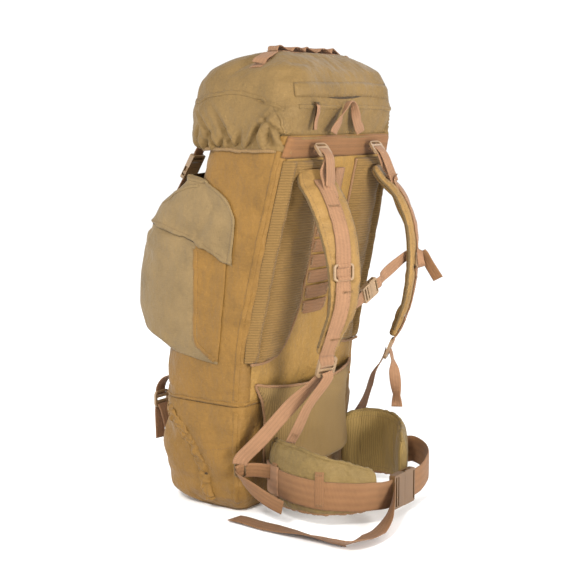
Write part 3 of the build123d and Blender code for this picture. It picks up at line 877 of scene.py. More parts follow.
def rows_between(bottom, top, count, ring, shape_low=None):
    """Grid rows from one height to another, where both may change along the outline."""
    columns = len(ring(SIMPLE_Z))
    rows = []
    for k in range(count):
        share = k / (count - 1)
        row = []
        for c in range(columns):
            z = shape_z = SIMPLE_Z
            for _ in range(3):
                point = ring_cache(ring, shape_z)[c]
                low = bottom(point[1]) if callable(bottom) else bottom
                high = top(point[1]) if callable(top) else top
                z = shape_z = low + (high - low) * share
                if shape_low is not None:
                    shape_z = z - (low - shape_low) * max(0, 1 - (z - low) / 0.09)
            row.append((*ring_cache(ring, shape_z)[c][:2], z))
        rows.append(row)
    return rows


CACHE = {}


def ring_cache(ring, z):
    """A ring's outline at a height, worked out once for each half millimetre."""
    key = (ring.__name__, round(z * 2000))
    if key not in CACHE:
        CACHE[key] = ring(z)
    return CACHE[key]


def lower_ring(z):
    """Outline of the pocket's body."""
    return pocket_ring(z, pocket_back(z), 0.0)


def hood_ring(z):
    """Outline of the hood, which lies over the pocket."""
    return pocket_ring(z, between(z * 1000, *HOOD_EDGE) * MM, 2.6 * MM)


def build_pocket(bag):
    """Pocket and the hood over its mouth; their faces are a paler, greyer copy of the side fabric,
    painted light, while the gusset keeps the side fabric.
    """
    low = box("front_pocket")[0].z
    rows = rows_between(pocket_low, lambda y: mouth_z(y) + 12 * MM, 40, lower_ring, low - 1 * MM)
    columns = len(rows[0])
    faces = grid_faces(len(rows), columns, False)
    pocket = make("front_pocket_shell", sum(rows, []), faces, [POCKET, SIDE], "pack",
                  ["front_pocket"], centre=(0, 0, 0.36))
    seams = [0, 7, columns - 8, columns - 1]
    puff(pocket, pins(len(rows), columns, (0, len(rows) - 1), seams), 4.0, 0.04, 9 * MM, 0.45)
    # front faces take the paler, greyer copy of the side fabric, which is painted light; the gusset
    # behind the seam keeps the side fabric
    for face in pocket.data.polygons:
        y_seam = between(face.center.z, [0.258, 0.266, 0.282, 0.300], [0.03, 0.0, -0.024, -0.037])
        face.material_index = 1 if face.center.y > y_seam else 0
    points = points_of(pocket)
    under = np.array([mouth_z(y) - z for _, y, z in points])
    rumple(pocket, 2.4 * MM, 70 * MM, (1, 1, 1), 15,
           fade(points[:, 2] - 0.27, 0.02) * fade(under, 0.03))
    bag_tree = surface_tree(bag)
    clear(pocket, bag_tree, 2.6 * MM)
    finish_cloth(pocket, 2.0 * MM)
    pocket_tree = surface_tree(pocket)
    hood_rows = rows_between(mouth_z, HOOD_TOP, 22, hood_ring)
    hood_rows.insert(0, [(x * 0.986, y + 4 * MM, z + 2 * MM) for x, y, z in hood_rows[0]])
    # the hood takes the same painted-light copy of the side fabric
    hood = make("pocket_hood", sum(hood_rows, []), grid_faces(len(hood_rows), columns, False),
                POCKET, "pack", ["pocket_flap", "flap_lip"],
                centre=(0, 0, 0.40))
    puff(hood, pins(len(hood_rows), columns, (0, 1, 2, len(hood_rows) - 1), (0, columns - 1)),
         3.0, 0.035, 6 * MM, 0.45)
    points = points_of(hood)
    above = np.array([z - mouth_z(y) for _, y, z in points])
    rumple(hood, 2.0 * MM, 55 * MM, (1, 1, 1), 17, fade(above - 14 * MM, 0.025))
    clear(hood, pocket_tree, 3.4 * MM)
    clear(hood, bag_tree, 2.4 * MM)
    points = points_of(hood)
    over = np.array([max(0.0, 1 - (z - mouth_z(y)) / (16 * MM)) for _, y, z in points])
    over *= fade(0.030 - points[:, 1], 0.05)
    push_out(hood, over * 4.5 * MM)
    finish_cloth(hood, 1.6 * MM)
    return pocket, hood


# ---------------------------------------------------------------- lid
LID_SHAPE = table("lid_shell", 40, 0.03)
LID_COUNTS = (24, 9, 30, 22, 30)
LID_CORNERS = 66 * MM, 44 * MM        # front and back radii
LID_MIDDLE, LID_RADIUS = 0.034, 0.16  # centre y and rough radius, for places round the hem
LID_YOKE_Z = 0.70                     # below this the lid follows its hem


def lid_section(z):
    """Front y, back y and half width of the lid at a height."""
    top = box("lid_shell")[1].z
    y_front, y_back, half = LID_SHAPE(min(z, top - 1 * MM))
    rise = 0.655 - z
    if rise > 0:
        y_back = LID_SHAPE(0.655)[1] - 0.25 * rise
    elif 0.676 < z < 0.722:
        # the CAD shell is slit for the zip here
        y_back = between(z, [0.676, 0.722], [LID_SHAPE(0.674)[1], LID_SHAPE(0.724)[1]])
    low = between(z, [0.66, 0.72], [1, 0])
    bulge = 3 * MM * sin(pi * min(1, max(0, (z - 0.612) / 0.085)))
    crown = between(z, [0.66, 0.725, 0.76], [0, 1, 0.6])
    y_front += -1 * MM * low - bulge - 21 * MM * crown
    half += 13 * MM * between(z, [0.710, 0.750, 0.775], [0, 1, 1])
    return y_front, min(y_back, 0.148) - 3 * MM * low, half - 6 * MM + bulge


def lid_low(y):
    """Height of the lid's lower edge: an elastic hem, rising behind to the back panel's top."""
    hem = box("lid_shell")[0].z
    rise = min(1, max(0, (y - 0.121) / (12 * MM)))
    return hem + 27 * MM * rise * rise * (3 - 2 * rise)


def gather(points, low):
    """Folds that an elastic hem pulls into the fabric above it."""
    run = np.arctan2(points[:, 1] - LID_MIDDLE, points[:, 0]) * LID_RADIUS
    rise = points[:, 2] - low
    tight = 1.5 * MM * np.sin(run / (1.75 * MM) + 2 * np.sin(run / (23 * MM)))
    amount = tight * np.exp(-np.abs(rise - 7 * MM) / (7 * MM))
    count = 64
    for k in range(count):
        where = (-pi + 2 * pi * (k + random.uniform(0.1, 0.9)) / count) * LID_RADIUS
        reach, width = random.uniform(26, 84) * MM, random.uniform(3.0, 4.6) * MM
        depth, slant = random.uniform(9.0, 15.0) * MM, random.uniform(-0.45, 0.45)
        bend = random.uniform(-70, 70)
        near = run - where - slant * rise - bend * rise * rise * 0.1
        groove = np.exp(-(near / width) ** 2)
        shoulder = np.exp(-((np.abs(near) - 2.4 * width) / (1.3 * width)) ** 2)
        fall = np.clip(1 - rise / reach, 0, 1) ** 0.7
        amount += depth * (0.42 * shoulder - 0.75 * groove) * fall
    limit = 11 * MM
    amount = limit * np.tanh(amount / limit)
    pull = 6 * MM * np.exp(-((rise - 3 * MM) / (9 * MM)) ** 2)
    amount = amount * np.clip(rise / (5 * MM), 0.15, 1) - pull
    return amount * fade(0.708 - points[:, 2], 0.015) * (points[:, 1] < 0.127)


LID_SEAM = [(0.172, -0.055, 0.700), (0.173, -0.020, 0.706), (0.172, 0.030, 0.710),
            (0.170, 0.066, 0.704), (0.168, 0.100, 0.691), (0.160, 0.126, 0.682)]


def build_lid(bag):
    """Domed lid gathered into an elastic hem."""
    hem, top = (corner.z for corner in box("lid_shell"))
    levels = list(np.linspace(hem, top - 8 * MM, 30)) + [top - 4 * MM, top - 1.5 * MM]
    rings = []
    for z in levels:
        outline = full_outline(*lid_section(z), *LID_CORNERS, LID_COUNTS)
        rings.append([(x, y, z) for x, y in outline])
    last = rings[-1]
    for share, height in ((0.8, 1.0), (0.6, 2.2), (0.4, 3.0), (0.2, 3.4), (0.04, 3.5)):
        rings.append([(x * share, 0.046 + (y - 0.046) * share, top - 1.5 * MM + height * MM)
                      for x, y, _ in last])
    columns = len(rings[0])
    points = []
    for ring in rings:
        for x, y, z in ring:
            low = lid_low(y)
            if z < LID_YOKE_Z:
                z = low + (z - hem) * (LID_YOKE_Z - low) / (LID_YOKE_Z - hem)
            points.append((x, y, z))
    faces = grid_faces(len(rings), columns, True)
    faces.append(tuple(range((len(rings) - 1) * columns, len(rings) * columns)))
    lid = make("lid_cover", points, faces, LID, "lid", ["lid_shell"])
    held = pins(len(rings), columns, (0, *range(len(rings) - 4, len(rings))), ())
    for index, point in enumerate(points):
        if point[1] > 0.130:
            held[index] = 1
    puff(lid, held, 3.4, 0.03, 5 * MM, 0.5)
    finish_cloth(lid)
    points = points_of(lid)
    push_out(lid, gather(points, np.array([lid_low(y) for _, y, _ in points])))
    points = points_of(lid)
    rumple(lid, 2.0 * MM, 55 * MM, (1, 1, 1), 11, fade(points[:, 2] - 0.64, 0.03))
    rumple(lid, 1.0 * MM, 22 * MM, (1, 1, 1), 12, fade(points[:, 2] - 0.66, 0.03))
    clear(lid, surface_tree(bag), 2.5 * MM)
    for side in (-1, 1):
        dent(lid, flip(LID_SEAM, side), 3.5 * MM, 4.5 * MM)
    return lid


# ---------------------------------------------------------------- pads and tubes
def join(pieces, name):
    """One piece out of several that ride on the same body."""
    first = pieces[0]
    with bpy.context.temp_override(active_object=first, object=first,
                                   selected_editable_objects=pieces, selected_objects=pieces):
        bpy.ops.object.join()
    first.name = name
    return first


def pad_ring(centre, across, out, wide, thick, count, power):
    """Rounded cross-section of a pad."""
    ring = []
    for k in range(count):
        a = 2 * pi * k / count
        u = abs(cos(a)) ** (2 / power) * (1 if cos(a) > 0 else -1)
        v = abs(sin(a)) ** (2 / 2.3) * (1 if sin(a) > 0 else -1)
        ring.append(centre + across * wide * u + out * thick * v)
    return ring


def sweep_pad(name, stations, materials, body, stands_for, count=36, power=5.0, cap=4 * MM,
              pressure=3.0, spare=0.03, crease=1.2 * MM, seed=0, held=0.90):
    """Padded band through stations of (centre, across, out, half width, half thickness).
    The first material is the outer face, and the second the face towards the wearer."""
    verts, pinned = [], []
    for centre, across, out, wide, thick in stations:
        centre, across, out = (np.asarray(v, float) for v in (centre, across, out))
        for k, point in enumerate(pad_ring(centre, across, out, wide, thick, count, power)):
            verts.append(point)
            pinned.append(1.0 if abs(cos(2 * pi * k / count)) > held else 0.0)
    for k in list(range(count)) + list(range(len(verts) - count, len(verts))):
        pinned[k] = 1.0
    faces = grid_faces(len(stations), count, True) + end_caps(count, len(verts))
    piece = make(name, verts, faces, materials, body, stands_for)
    puff(piece, pinned, pressure, spare, cap, 0.5)
    rumple(piece, crease, 28 * MM, (1, 1, 1), seed)
    for face in piece.data.polygons[:(len(stations) - 1) * count]:
        face.material_index = 0 if face.index % count < count // 2 else 1
    finish_cloth(piece)
    return piece


def smooth_stations(points, count, shape):
    """Stations along a smooth path. shape(share) gives across, out, half width, half thickness."""
    line, run = curve_points(points, 1.0 * MM)
    at = np.linspace(0, run[-1], count)
    centres = np.stack([np.interp(at, run, line[:, k]) for k in range(3)], 1)
    tangents = unit(np.gradient(centres, axis=0))
    return [(c, *shape(k / (count - 1), t, c)) for k, (c, t) in enumerate(zip(centres, tangents))]


def rounded_end(share, reach=0.06, least=0.55):
    """Falls to least at both ends of a pad, so that its ends are rounded."""
    edge = min(share, 1 - share) / reach
    return 1.0 if edge >= 1 else least + (1 - least) * (1 - (1 - edge) ** 2) ** 0.5


def tube(name, points, radius, material, body, sides=8, step=3 * MM, pucker=0.0,
         stands_for=()):
    """Round piping or wire along a curve, with an optional pucker along its length."""
    line, run = curve_points(points, step)
    tangent = unit(np.gradient(line, axis=0))
    side = np.cross(tangent[0], (0.3, 0.2, 0.9))
    verts, marks = [], []
    for index in range(len(line)):
        side = side - (side @ tangent[index]) * tangent[index]
        side /= np.linalg.norm(side)
        up = np.cross(tangent[index], side)
        size = radius * (1 + pucker * noise.noise(Vector((run[index] / (6 * MM), 1.7, 3.1))))
        for k in range(sides):
            a = 2 * pi * k / sides
            verts.append(line[index] + side * size * cos(a) + up * size * sin(a))
            marks.append((cos(a), run[index], 1))
    faces = grid_faces(len(line), sides, True) + end_caps(sides, len(verts))
    return mark_strap(make(name, verts, faces, material, body, stands_for), marks)


def side_name(base, side):
    """A piece's name with the side that it is on."""
    return base + ("_right" if side > 0 else "_left")


def flip(points, side):
    """The same points on the other side of the pack."""
    return [(p[0] * side, *p[1:]) for p in points]


def mirrored(side, scale=1.0):
    """Function that takes a point on the right of the pack to this side."""
    return lambda p: np.asarray(p, float) * np.array((side, 1, 1)) * scale


# ---------------------------------------------------------------- back panel
COVER_OUT = 7.2 * MM          # the back cover stands this far out
COVER_LOW, COVER_HIGH = 0.196, 0.606


def back_y(z):
    """y of the bag's back at a height."""
    return bag_wall(z)[1]


def build_back_cover():
    """Fabric over the back foam, from the lumbar pad to the top band."""
    wide = box("back_foam")[1].x
    rows, columns = 70, 56
    heights = np.linspace(COVER_LOW, 0.603, rows)
    across = np.linspace(-1, 1, columns)
    verts = []
    for z in heights:
        for u in across:
            edge = min(1, (1 - abs(u)) / 0.05)
            ends = min(1, (z - COVER_LOW) / 0.04, (COVER_HIGH - z) / 0.012)
            rise = COVER_OUT * (edge * ends) ** 0.5
            channel = -1.5 * MM * exp(-(u * wide / (30 * MM)) ** 2)
            y = back_y(z) + 0.5 * MM + rise + channel * edge * ends
            verts.append((u * (wide + 2 * MM), y, z))
    # the cover's fabric is the side fabric lightened, as painted light against the shade from the pads
    cover = make("back_panel_cover", verts, grid_faces(rows, columns, False), BACK, "pack",
                 ["back_foam"], centre=(0, -1, 0.4))
    points = points_of(cover)
    weight = (np.abs(points[:, 0]) < wide - 6 * MM) * fade(0.6 - points[:, 2], 0.02)
    rumple(cover, 1.8 * MM, 60 * MM, (1, 1, 0.7), 21, weight)
    finish_cloth(cover)


# z and x of a mesh pad's inner edge, in millimetres
INNER_EDGE = ([262, 268, 300, 350, 430, 598], [135, 92, 62, 48, 45, 46])
STRIP_WIDE = 24 * MM          # the padded strip along its outer edge


def build_mesh_pad(side):
    """Spacer mesh pad: a padded strip along the side seam, then a pillow with a bound edge."""
    low, high = 0.264, 0.600
    rows, columns = 86, 34
    verts, pinned = [], []
    for r in range(rows):
        v = r / (rows - 1)
        z = low + (high - low) * v
        outer = bag_wall(z)[2] - 7 * MM
        inner = between(z * 1000, *INNER_EDGE) * MM
        for c in range(columns):
            u = c / (columns - 1)
            x = outer + (inner - outer) * u
            reach = (outer - inner) * u
            corner = max(0.0, (x - (bag_wall(z)[2] - BACK_R)) / BACK_R)
            base = back_y(z) - BACK_R * (1 - (1 - min(1, corner) ** 2) ** 0.5) + 1.5 * MM
            lift = COVER_OUT * min(1, reach / (9 * MM))
            if reach < STRIP_WIDE:
                swell = 6.5 * MM * sin(pi * min(1, reach / STRIP_WIDE)) ** 0.7
            else:
                rest = max(0.0, reach - 25 * MM) / max(1 * MM, (outer - inner) - 25 * MM)
                swell = 9.5 * MM * (1 - (2 * min(1, rest) - 1) ** 4) ** 0.8
            ends = min(1, v / 0.06, (1 - v) / 0.03) ** 0.5
            verts.append((side * x, base + lift + swell * ends, z))
            edge = u in (0, 1) or r in (0, rows - 1) or abs(reach - 24.5 * MM) < 2.5 * MM
            pinned.append(1.0 if edge else 0.0)
    name = side_name("side_mesh_pad", side)
    pad = make(name + "_cover", verts, grid_faces(rows, columns, False), MESH_FLAT, "pack", [name],
               centre=(0, -1, 0.4))
    puff(pad, pinned, 2.0, 0.02, 3 * MM, 0.6)
    rumple(pad, 1.0 * MM, 50 * MM, (1, 1, 0.6), 31 + side)
    finish_cloth(pad, 1.5 * MM)
    rim = [(side * (between(z * 1000, *INNER_EDGE) * MM - 1 * MM), back_y(z) + 9 * MM, z)
           for z in (0.598, 0.52, 0.43, 0.35, 0.30, 0.272)]
    rim += [(side * x, back_y(0.262) + 8.5 * MM, z)
            for x, z in ((0.110, 0.263), (0.135, 0.2605), (0.163, 0.262))]
    tube(name + "_binding", rim, 2.6 * MM, BINDING, "pack", pucker=0.25)


def build_back_webbing(bag):
    """Torso ladder, the stiff strip above it, and the top band."""
    low, high = box("torso_ladder")
    rungs, count = [], 7
    pitch = (high.z - low.z) / count
    for k in range(count):
        z = low.z + pitch * (k + 0.5)
        y = back_y(z) + COVER_OUT
        line = [(x * MM, y + out * MM, z - sag * MM) for x, out, sag in
                ((-38, -1, 0), (-34, 1.0, 0), (0, 3.6, 0.5), (34, 1.0, 0), (38, -1, 0))]
        rungs.append(strap(f"rung_{k}", line, (0, 0.3, 1), pitch - 3.0 * MM, WEB_DARK, "pack"))
        for side in (-1, 1):
            bartack("pack", (side * 33 * MM, y + 2.6 * MM, z), (0, 0.3, 1), (1, 0, 0), 17 * MM,
                    4 * MM)
    ladder = join(rungs, "torso_ladder_webbing")
    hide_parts("torso_ladder")
    low, high = box("yoke_strip")
    line = [(1 * MM, back_y(z) + COVER_OUT + 2 * MM, z) for z in (low.z, 0.5, 0.54, high.z + 4 * MM)]
    strap("yoke_strip_webbing", line, (1, 0, 0), 26 * MM, WEB, "pack", ["yoke_strip"], 4.5 * MM)
    for x in (-9 * MM, 11 * MM):
        stitch("pack", [(x, y + 2.6 * MM, z) for _, y, z in line])
    low, high = box("top_band")
    middle = (low.z + high.z) / 2
    wide = 0.164
    line = [(x, back_y(middle) + 2 * MM, middle + 1.2 * MM * sin(x * 45)) for x in
            np.linspace(-wide, wide, 9)]
    band = applied("top_band_webbing", surface_tree(bag), line, high.z - low.z, 3.2 * MM,
                   BAND, "pack", ["top_band"], columns=9)
    band_tree = surface_tree(band)
    for z in (low.z + 4 * MM, middle - 2 * MM, middle + 2 * MM, high.z - 4 * MM):
        row = [(x, back_y(z) + 4 * MM, z) for x in np.linspace(-0.150, 0.150, 7)]
        stitch("pack", row, band_tree)


def build_lumbar():
    """Ribbed mesh lumbar pad with pointed upper corners."""
    low, high = box("lumbar_pad")
    verts = []
    rows, columns = 44, 60
    for r in range(rows):
        v = r / (rows - 1)
        z = low.z + (high.z - low.z - 8 * MM) * v
        half = between(v, [0, 0.62, 0.80, 0.93, 1.0], [0.119, 0.119, 0.126, 0.140, 0.145])
        for c in range(columns):
            u = 2 * c / (columns - 1) - 1
            crown = (high.y - low.y - 8 * MM) * (1 - u * u) ** (0.36 + 0.3 * v)
            crown *= min(1, v / 0.08) ** 0.5
            crown *= 1 - 0.30 * max(0, (v - 0.72) / 0.28) ** 2
            top = z - 13 * MM * max(0, v - 0.6) / 0.4 * (1 - abs(u) ** 2.2)
            curl = 2 * MM * max(0, (abs(u) - 0.80) / 0.2) ** 2 * max(0, (v - 0.7) / 0.3)
            wave = 2.2 * MM * noise.noise(Vector((u * 3, 2.0, v * 2)))
            verts.append((half * u, low.y + 1 * MM + crown + curl + wave, top))
    pad = make("lumbar_pad_cover", verts, grid_faces(rows, columns, False), MESH_UPRIGHT, "pack",
               ["lumbar_pad"], centre=(0, -1, 0.15))
    rumple(pad, 2.4 * MM, 60 * MM, (1, 1, 0.8), 41)
    finish_cloth(pad, 4 * MM)
    rim = verts[:(rows - 1) * columns + 1:4 * columns] + verts[(rows - 1) * columns::4]
    rim += verts[rows * columns - 1:columns:-4 * columns]
    tube("lumbar_binding", rim, 2.6 * MM, BINDING, "pack", pucker=0.3)


# ---------------------------------------------------------------- shoulder harness
TURN = radians(22)
OUT = np.array((sin(TURN), cos(TURN), 0))
ACROSS = np.array((cos(TURN), -sin(TURN), 0))
STRAP_TOP = np.array((85, 128, 0)) * MM
# u out from the back, z and offset across, in millimetres
PAD_LINE = [(14, 584, 7), (28, 563, 8), (54, 535, 6), (76, 485, 0), (82, 425, -8), (76, 362, -9),
            (62, 318, 0), (49, 285, 6)]
# z and offset across, in millimetres
WEB_LINE = [(562, 6), (535, 5), (485, 1), (425, 0), (375, 0), (330, 5), (300, 8), (284, 7)]
PAD_WIDE, PAD_THICK = 70 * MM, 14 * MM


def strap_point(u, z, across=0.0):
    """Point in the right shoulder strap's plane: u out from the back and z up, in millimetres."""
    point = STRAP_TOP + OUT * u * MM + ACROSS * across * MM
    return np.array((point[0], point[1], z * MM))


def pad_frame(t):
    """Outward direction of the pad's outer face, from its direction along the line."""
    run = t @ OUT
    return -(OUT * t[2] - np.array((0, 0, 1)) * run)


def mirror_station(station, side):
    """A station on this side of the pack."""
    centre, across, out, wide, thick = station
    turn = np.array((side, 1, 1))
    return centre * turn, across * turn, out * turn, wide, thick


def shoulder_shape(share, tangent, _):
    """Frame, half width and half thickness of a shoulder pad along its line."""
    wide = PAD_WIDE / 2 * between(share, [0, 0.10, 0.35, 0.6, 0.8, 1],
                                  [0.90, 1.04, 0.98, 0.84, 0.70, 0.52])
    return (ACROSS, pad_frame(tangent), wide * rounded_end(share, 0.05, 0.7),
            PAD_THICK / 2 * rounded_end(share, 0.04, 0.5))


def build_shoulder(side):
    """S-curved shoulder pad with its bound edges, and the webbing down its face."""
    line = [strap_point(*spot) for spot in PAD_LINE]
    stations = [mirror_station(s, side) for s in smooth_stations(line, 90, shoulder_shape)]
    name = side_name("shoulder_pad", side)
    pad = sweep_pad(name + "_cover", stations, [PAD, MESH_FLAT], "harness", [name],
                    seed=50 + side, cap=3.5 * MM, crease=1.3 * MM)
    tree = surface_tree(pad)
    for edge, label in ((1, "near"), (-1, "far")):
        rim = [c + a * w * edge * 0.985 for c, a, o, w, t in stations[1:-1:4]]
        # the edge binding's dark colour is painted shade
        tube(f"{name}_binding_{label}", rim, 2.6 * MM, EDGE, "harness", pucker=0.3)
        seam = [c + a * w * edge * 0.86 + o * t for c, a, o, w, t in stations[2:-2:5]]
        stitch("harness", seam, tree)
    line, widths = [], []
    for z, offset in WEB_LINE:
        station = min(stations, key=lambda st: abs(st[0][2] - z * MM))
        middle = between(-z, [-p[1] for p in PAD_LINE], [p[2] for p in PAD_LINE])
        line.append(station[0] + station[1] * (offset - middle) * MM
                    + station[2] * (station[4] + 2 * MM))
        widths.append(station)
    line += [mirrored(side)(strap_point(50, 272, 2)), mirrored(side)(strap_point(45, 262))]
    web = strap(side_name("shoulder_webbing", side), line, stations[10][1], 27 * MM, WEB, "harness",
                [side_name("strap_webbing", side)], 2.4 * MM)
    lay_on(web, tree, 2.4 * MM)
    web_tree = surface_tree(web)
    for u in (-0.8, 0.8):
        row = [p + st[1] * u * 13.5 * MM + st[2] * 2 * MM for p, st in zip(line, widths)]
        stitch("harness", row, web_tree)
    for share in (0.24, 0.60, 0.66, 0.90):
        c, a, o, _, t = stations[int(share * (len(stations) - 1))]
        spot, _ = on_surface(web_tree, c + o * (t + 4 * MM))
        bartack("harness", spot + o * 0.3 * MM, a, np.cross(a, o), 22 * MM, 3 * MM)


def build_strap_webbings(side):
    """Load lifter, lower webbing with its tail, and the webbing that holds the ring."""
    f = mirrored(side)
    across = f(ACROSS)
    x_dir = np.array((1.0, 0, 0))
    lifter = [f(strap_point(60, 541)), f(strap_point(50, 560)), f(strap_point(38, 578)),
              f((0.0855, 0.161, 0.598)), f((0.085, 0.153, 0.614)), f((0.085, 0.1455, 0.6185)),
              f((0.085, 0.139, 0.612))]
    piece = strap(side_name("lifter_webbing", side) + "_strap", lifter,
                  [across, across, x_dir, x_dir, x_dir, x_dir, x_dir], 25 * MM, WEB)
    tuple(f(strap_point(48, 566)))
    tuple(f((0.085, 0.160, 0.600)))
    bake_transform(piece)
    tail = [f((0.085, 0.150, 0.6185)), f((0.086, 0.163, 0.606)), f((0.094, 0.171, 0.580)),
            f((0.103, 0.176, 0.556))]
    end = strap(side_name("lifter_tail", side), tail, x_dir, 24 * MM, WEB)
    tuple(f((0.103, 0.176, 0.562)))
    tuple(f((0.085, 0.160, 0.604)))
    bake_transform(end)
    low = [f(strap_point(38, 258)), f(strap_point(34, 247)), f((0.128, 0.118, 0.196)),
           f((0.160, 0.082, 0.142)), f((0.1765, 0.052, 0.106)), f((0.1785, 0.0475, 0.094))]
    tilt = np.array((side * 0.57, -0.82, 0.0))
    aslant = np.array((side * 0.62, -0.60, 0.50))
    lower = strap(side_name("lower_webbing", side) + "_strap", low,
                  [across, across, aslant, aslant, tilt, tilt], 25 * MM, WEB, None,
                  [side_name("lower_webbing", side)])
    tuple(f((0.172, 0.060, 0.115)))
    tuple(f(strap_point(34, 247)))
    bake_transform(lower)
    back = [f(strap_point(47, 254)), f(strap_point(46, 240)), f((0.120, 0.146, 0.196)),
            f((0.127, 0.130, 0.158)), f((0.131, 0.117, 0.132))]
    narrow = np.array((side * 0.88, -0.30, 0.35))
    turns = [across, narrow, narrow, narrow, narrow]
    if side < 0:
        back = [f(strap_point(u, z)) for u, z in ((44, 262), (48, 252), (51, 236), (55, 208),
                                                  (58, 180), (59, 156))]
        turns = [across, across, (-0.7, 0.6, 0), (-0.2, 0.9, 0.1), (0.3, 0.9, 0.1), (-0.4, 0.85, 0)]
        narrow = np.array((-0.4, 0.85, 0))
    strap(side_name("lower_webbing_tail", side), back, turns, 20 * MM, WEB, "harness", wave=0.8 * MM)
    bartack("harness", (np.array(back[-1]) + np.array(back[-2])) * 0.5 + f((0.001, 0.002, 0.0)), narrow,
            np.array(back[-1]) - np.array(back[-2]), 15 * MM, 5 * MM)
    for name, spots in (("ring_tab", ((88, 452), (91.5, 440), (95.5, 434.5), (91, 430))),
                        ("ring_strap", ((91, 419), (95.5, 413.5), (91.0, 408), (87.0, 392)))):
        strap(side_name(name, side), [f(strap_point(u, z)) for u, z in spots], across, 25 * MM, WEB,
              "harness")


# the strap's right end, its buckle and its left end, in millimetres
STERNUM = [(74, 206, 367), (31, 207, 384), (-74, 206, 424)]


def build_sternum():
    """Both halves of the sternum strap, its keeper and its tail."""
    a, b, c = (np.array(p) * MM for p in STERNUM)
    run = (c - a) / np.linalg.norm(c - a)
    wide = np.cross(run, (0, 1, 0))
    near = [a + (0.012, -0.004, -0.006), a, a + (b - a) * 0.35 + (0, 0.002, 0), b - run * 19 * MM]
    strap("sternum_webbing_right", near, wide, 20 * MM, WEB, "harness", ["sternum_right"],
          wave=0.5 * MM)
    far = [b + run * 20 * MM, b + run * 34 * MM + (0, 0.003, 0),
           b + run * 52 * MM + (0, -0.002, 0.001), c + run * 8 * MM,
           c + run * 22 * MM + (0, 0.004, 0), c + run * 46 * MM + (0, 0.010, -0.002)]
    strap("sternum_webbing_left", far, wide, 20 * MM, WEB, "harness", ["sternum_left"],
          wave=1.2 * MM)
    tail = [(-0.116, 0.222, 0.436), (-0.122, 0.2265, 0.428), (-0.127, 0.234, 0.412),
            (-0.136, 0.246, 0.388)]
    strap("sternum_tail", tail, [(0.35, 0.5, 0.8), (0.2, 0.6, 0.7), (0.1, 0.75, 0.65), (0, 0.8, 0.6)],
          20 * MM, WEB_DARK, "harness")
    strap("sternum_keeper", [(-0.112, 0.2215, 0.440), (-0.106, 0.226, 0.432), (-0.108, 0.227, 0.418),
                             (-0.116, 0.2235, 0.410)], (0.9, -0.35, 0.2), 14 * MM, WEB, "harness")


# ---------------------------------------------------------------- hip belt
# x and y of the padded halves' middle lines, in millimetres, for the right (1) and the left (-1);
# the left half's end curls in, as such belts do when they are left standing
BELT_LINE = {1: [(106, 66), (118, 80), (136, 96), (151, 142), (146, 190), (118, 222), (92, 239),
                 (72, 247)],
             -1: [(106, 66), (118, 80), (136, 97), (147, 136), (134, 172), (106, 194), (80, 208),
                  (62, 222)]}
BELT_THICK = 20 * MM
PATCH_Z = 0.070          # middle height of the patch at a padded half's root
UP = np.array((0, 0, 1.0))


def wing_top(y):
    """Height of the padded half's upper edge."""
    return between(y * 1000, [64, 80, 100, 150, 190, 222, 240],
                   [120, 130, 134, 132, 122, 110, 98]) * MM


def build_wing(side):
    """Padded half of the hip belt. Returns it with its stations."""
    body = side_name("belt", side)
    name = side_name("belt_wing", side)
    bottom = box(name)[0].z - (7 if side > 0 else 16) * MM

    def shape(s, t, c):
        top = wing_top(c[1])
        narrow = rounded_end(min(1, 0.5 + s / 2), 0.06, 0.55)
        thick = BELT_THICK / 2 * rounded_end(s, 0.05, 0.55) * (1 - 0.3 * s)
        return UP, np.array((t[1], -t[0], 0.0)), (top - bottom) / 2 * narrow, thick

    line = [(x * MM, y * MM, 0.08) for x, y in BELT_LINE[side]]
    stations = []
    for centre, *rest in smooth_stations(line, 62, shape):
        middle = (wing_top(centre[1]) + bottom) / 2
        stations.append((np.array((centre[0], centre[1], middle)), *rest))
    stations = [mirror_station(s, side) for s in stations]
    wing = sweep_pad(name + "_cover", stations, [BELT, MESH_BELT], body, [name],
                     count=40, power=3.6, spare=0.035, crease=1.6 * MM, seed=60 + side)
    for edge, label in ((1, "top"), (-1, "bottom")):
        rim = [c + a * w * edge for c, a, o, w, t in stations[2:-1:3]]
        tube(f"{name}_binding_{label}", rim, 3.2 * MM, BINDING if edge < 0 else BELT, body,
             pucker=0.55)
    tree = surface_tree(wing)
    for edge in (1, -1):
        seam = [c + a * w * edge * 0.84 - o * t for c, a, o, w, t in stations[3:-2:3]]
        stitch(body, seam, tree)
    middle = stations[34]
    seam = [middle[0] + middle[1] * middle[3] * v - middle[2] * middle[4] for v in (-0.8, 0, 0.8)]
    stitch(body, seam, tree)
    return wing, stations


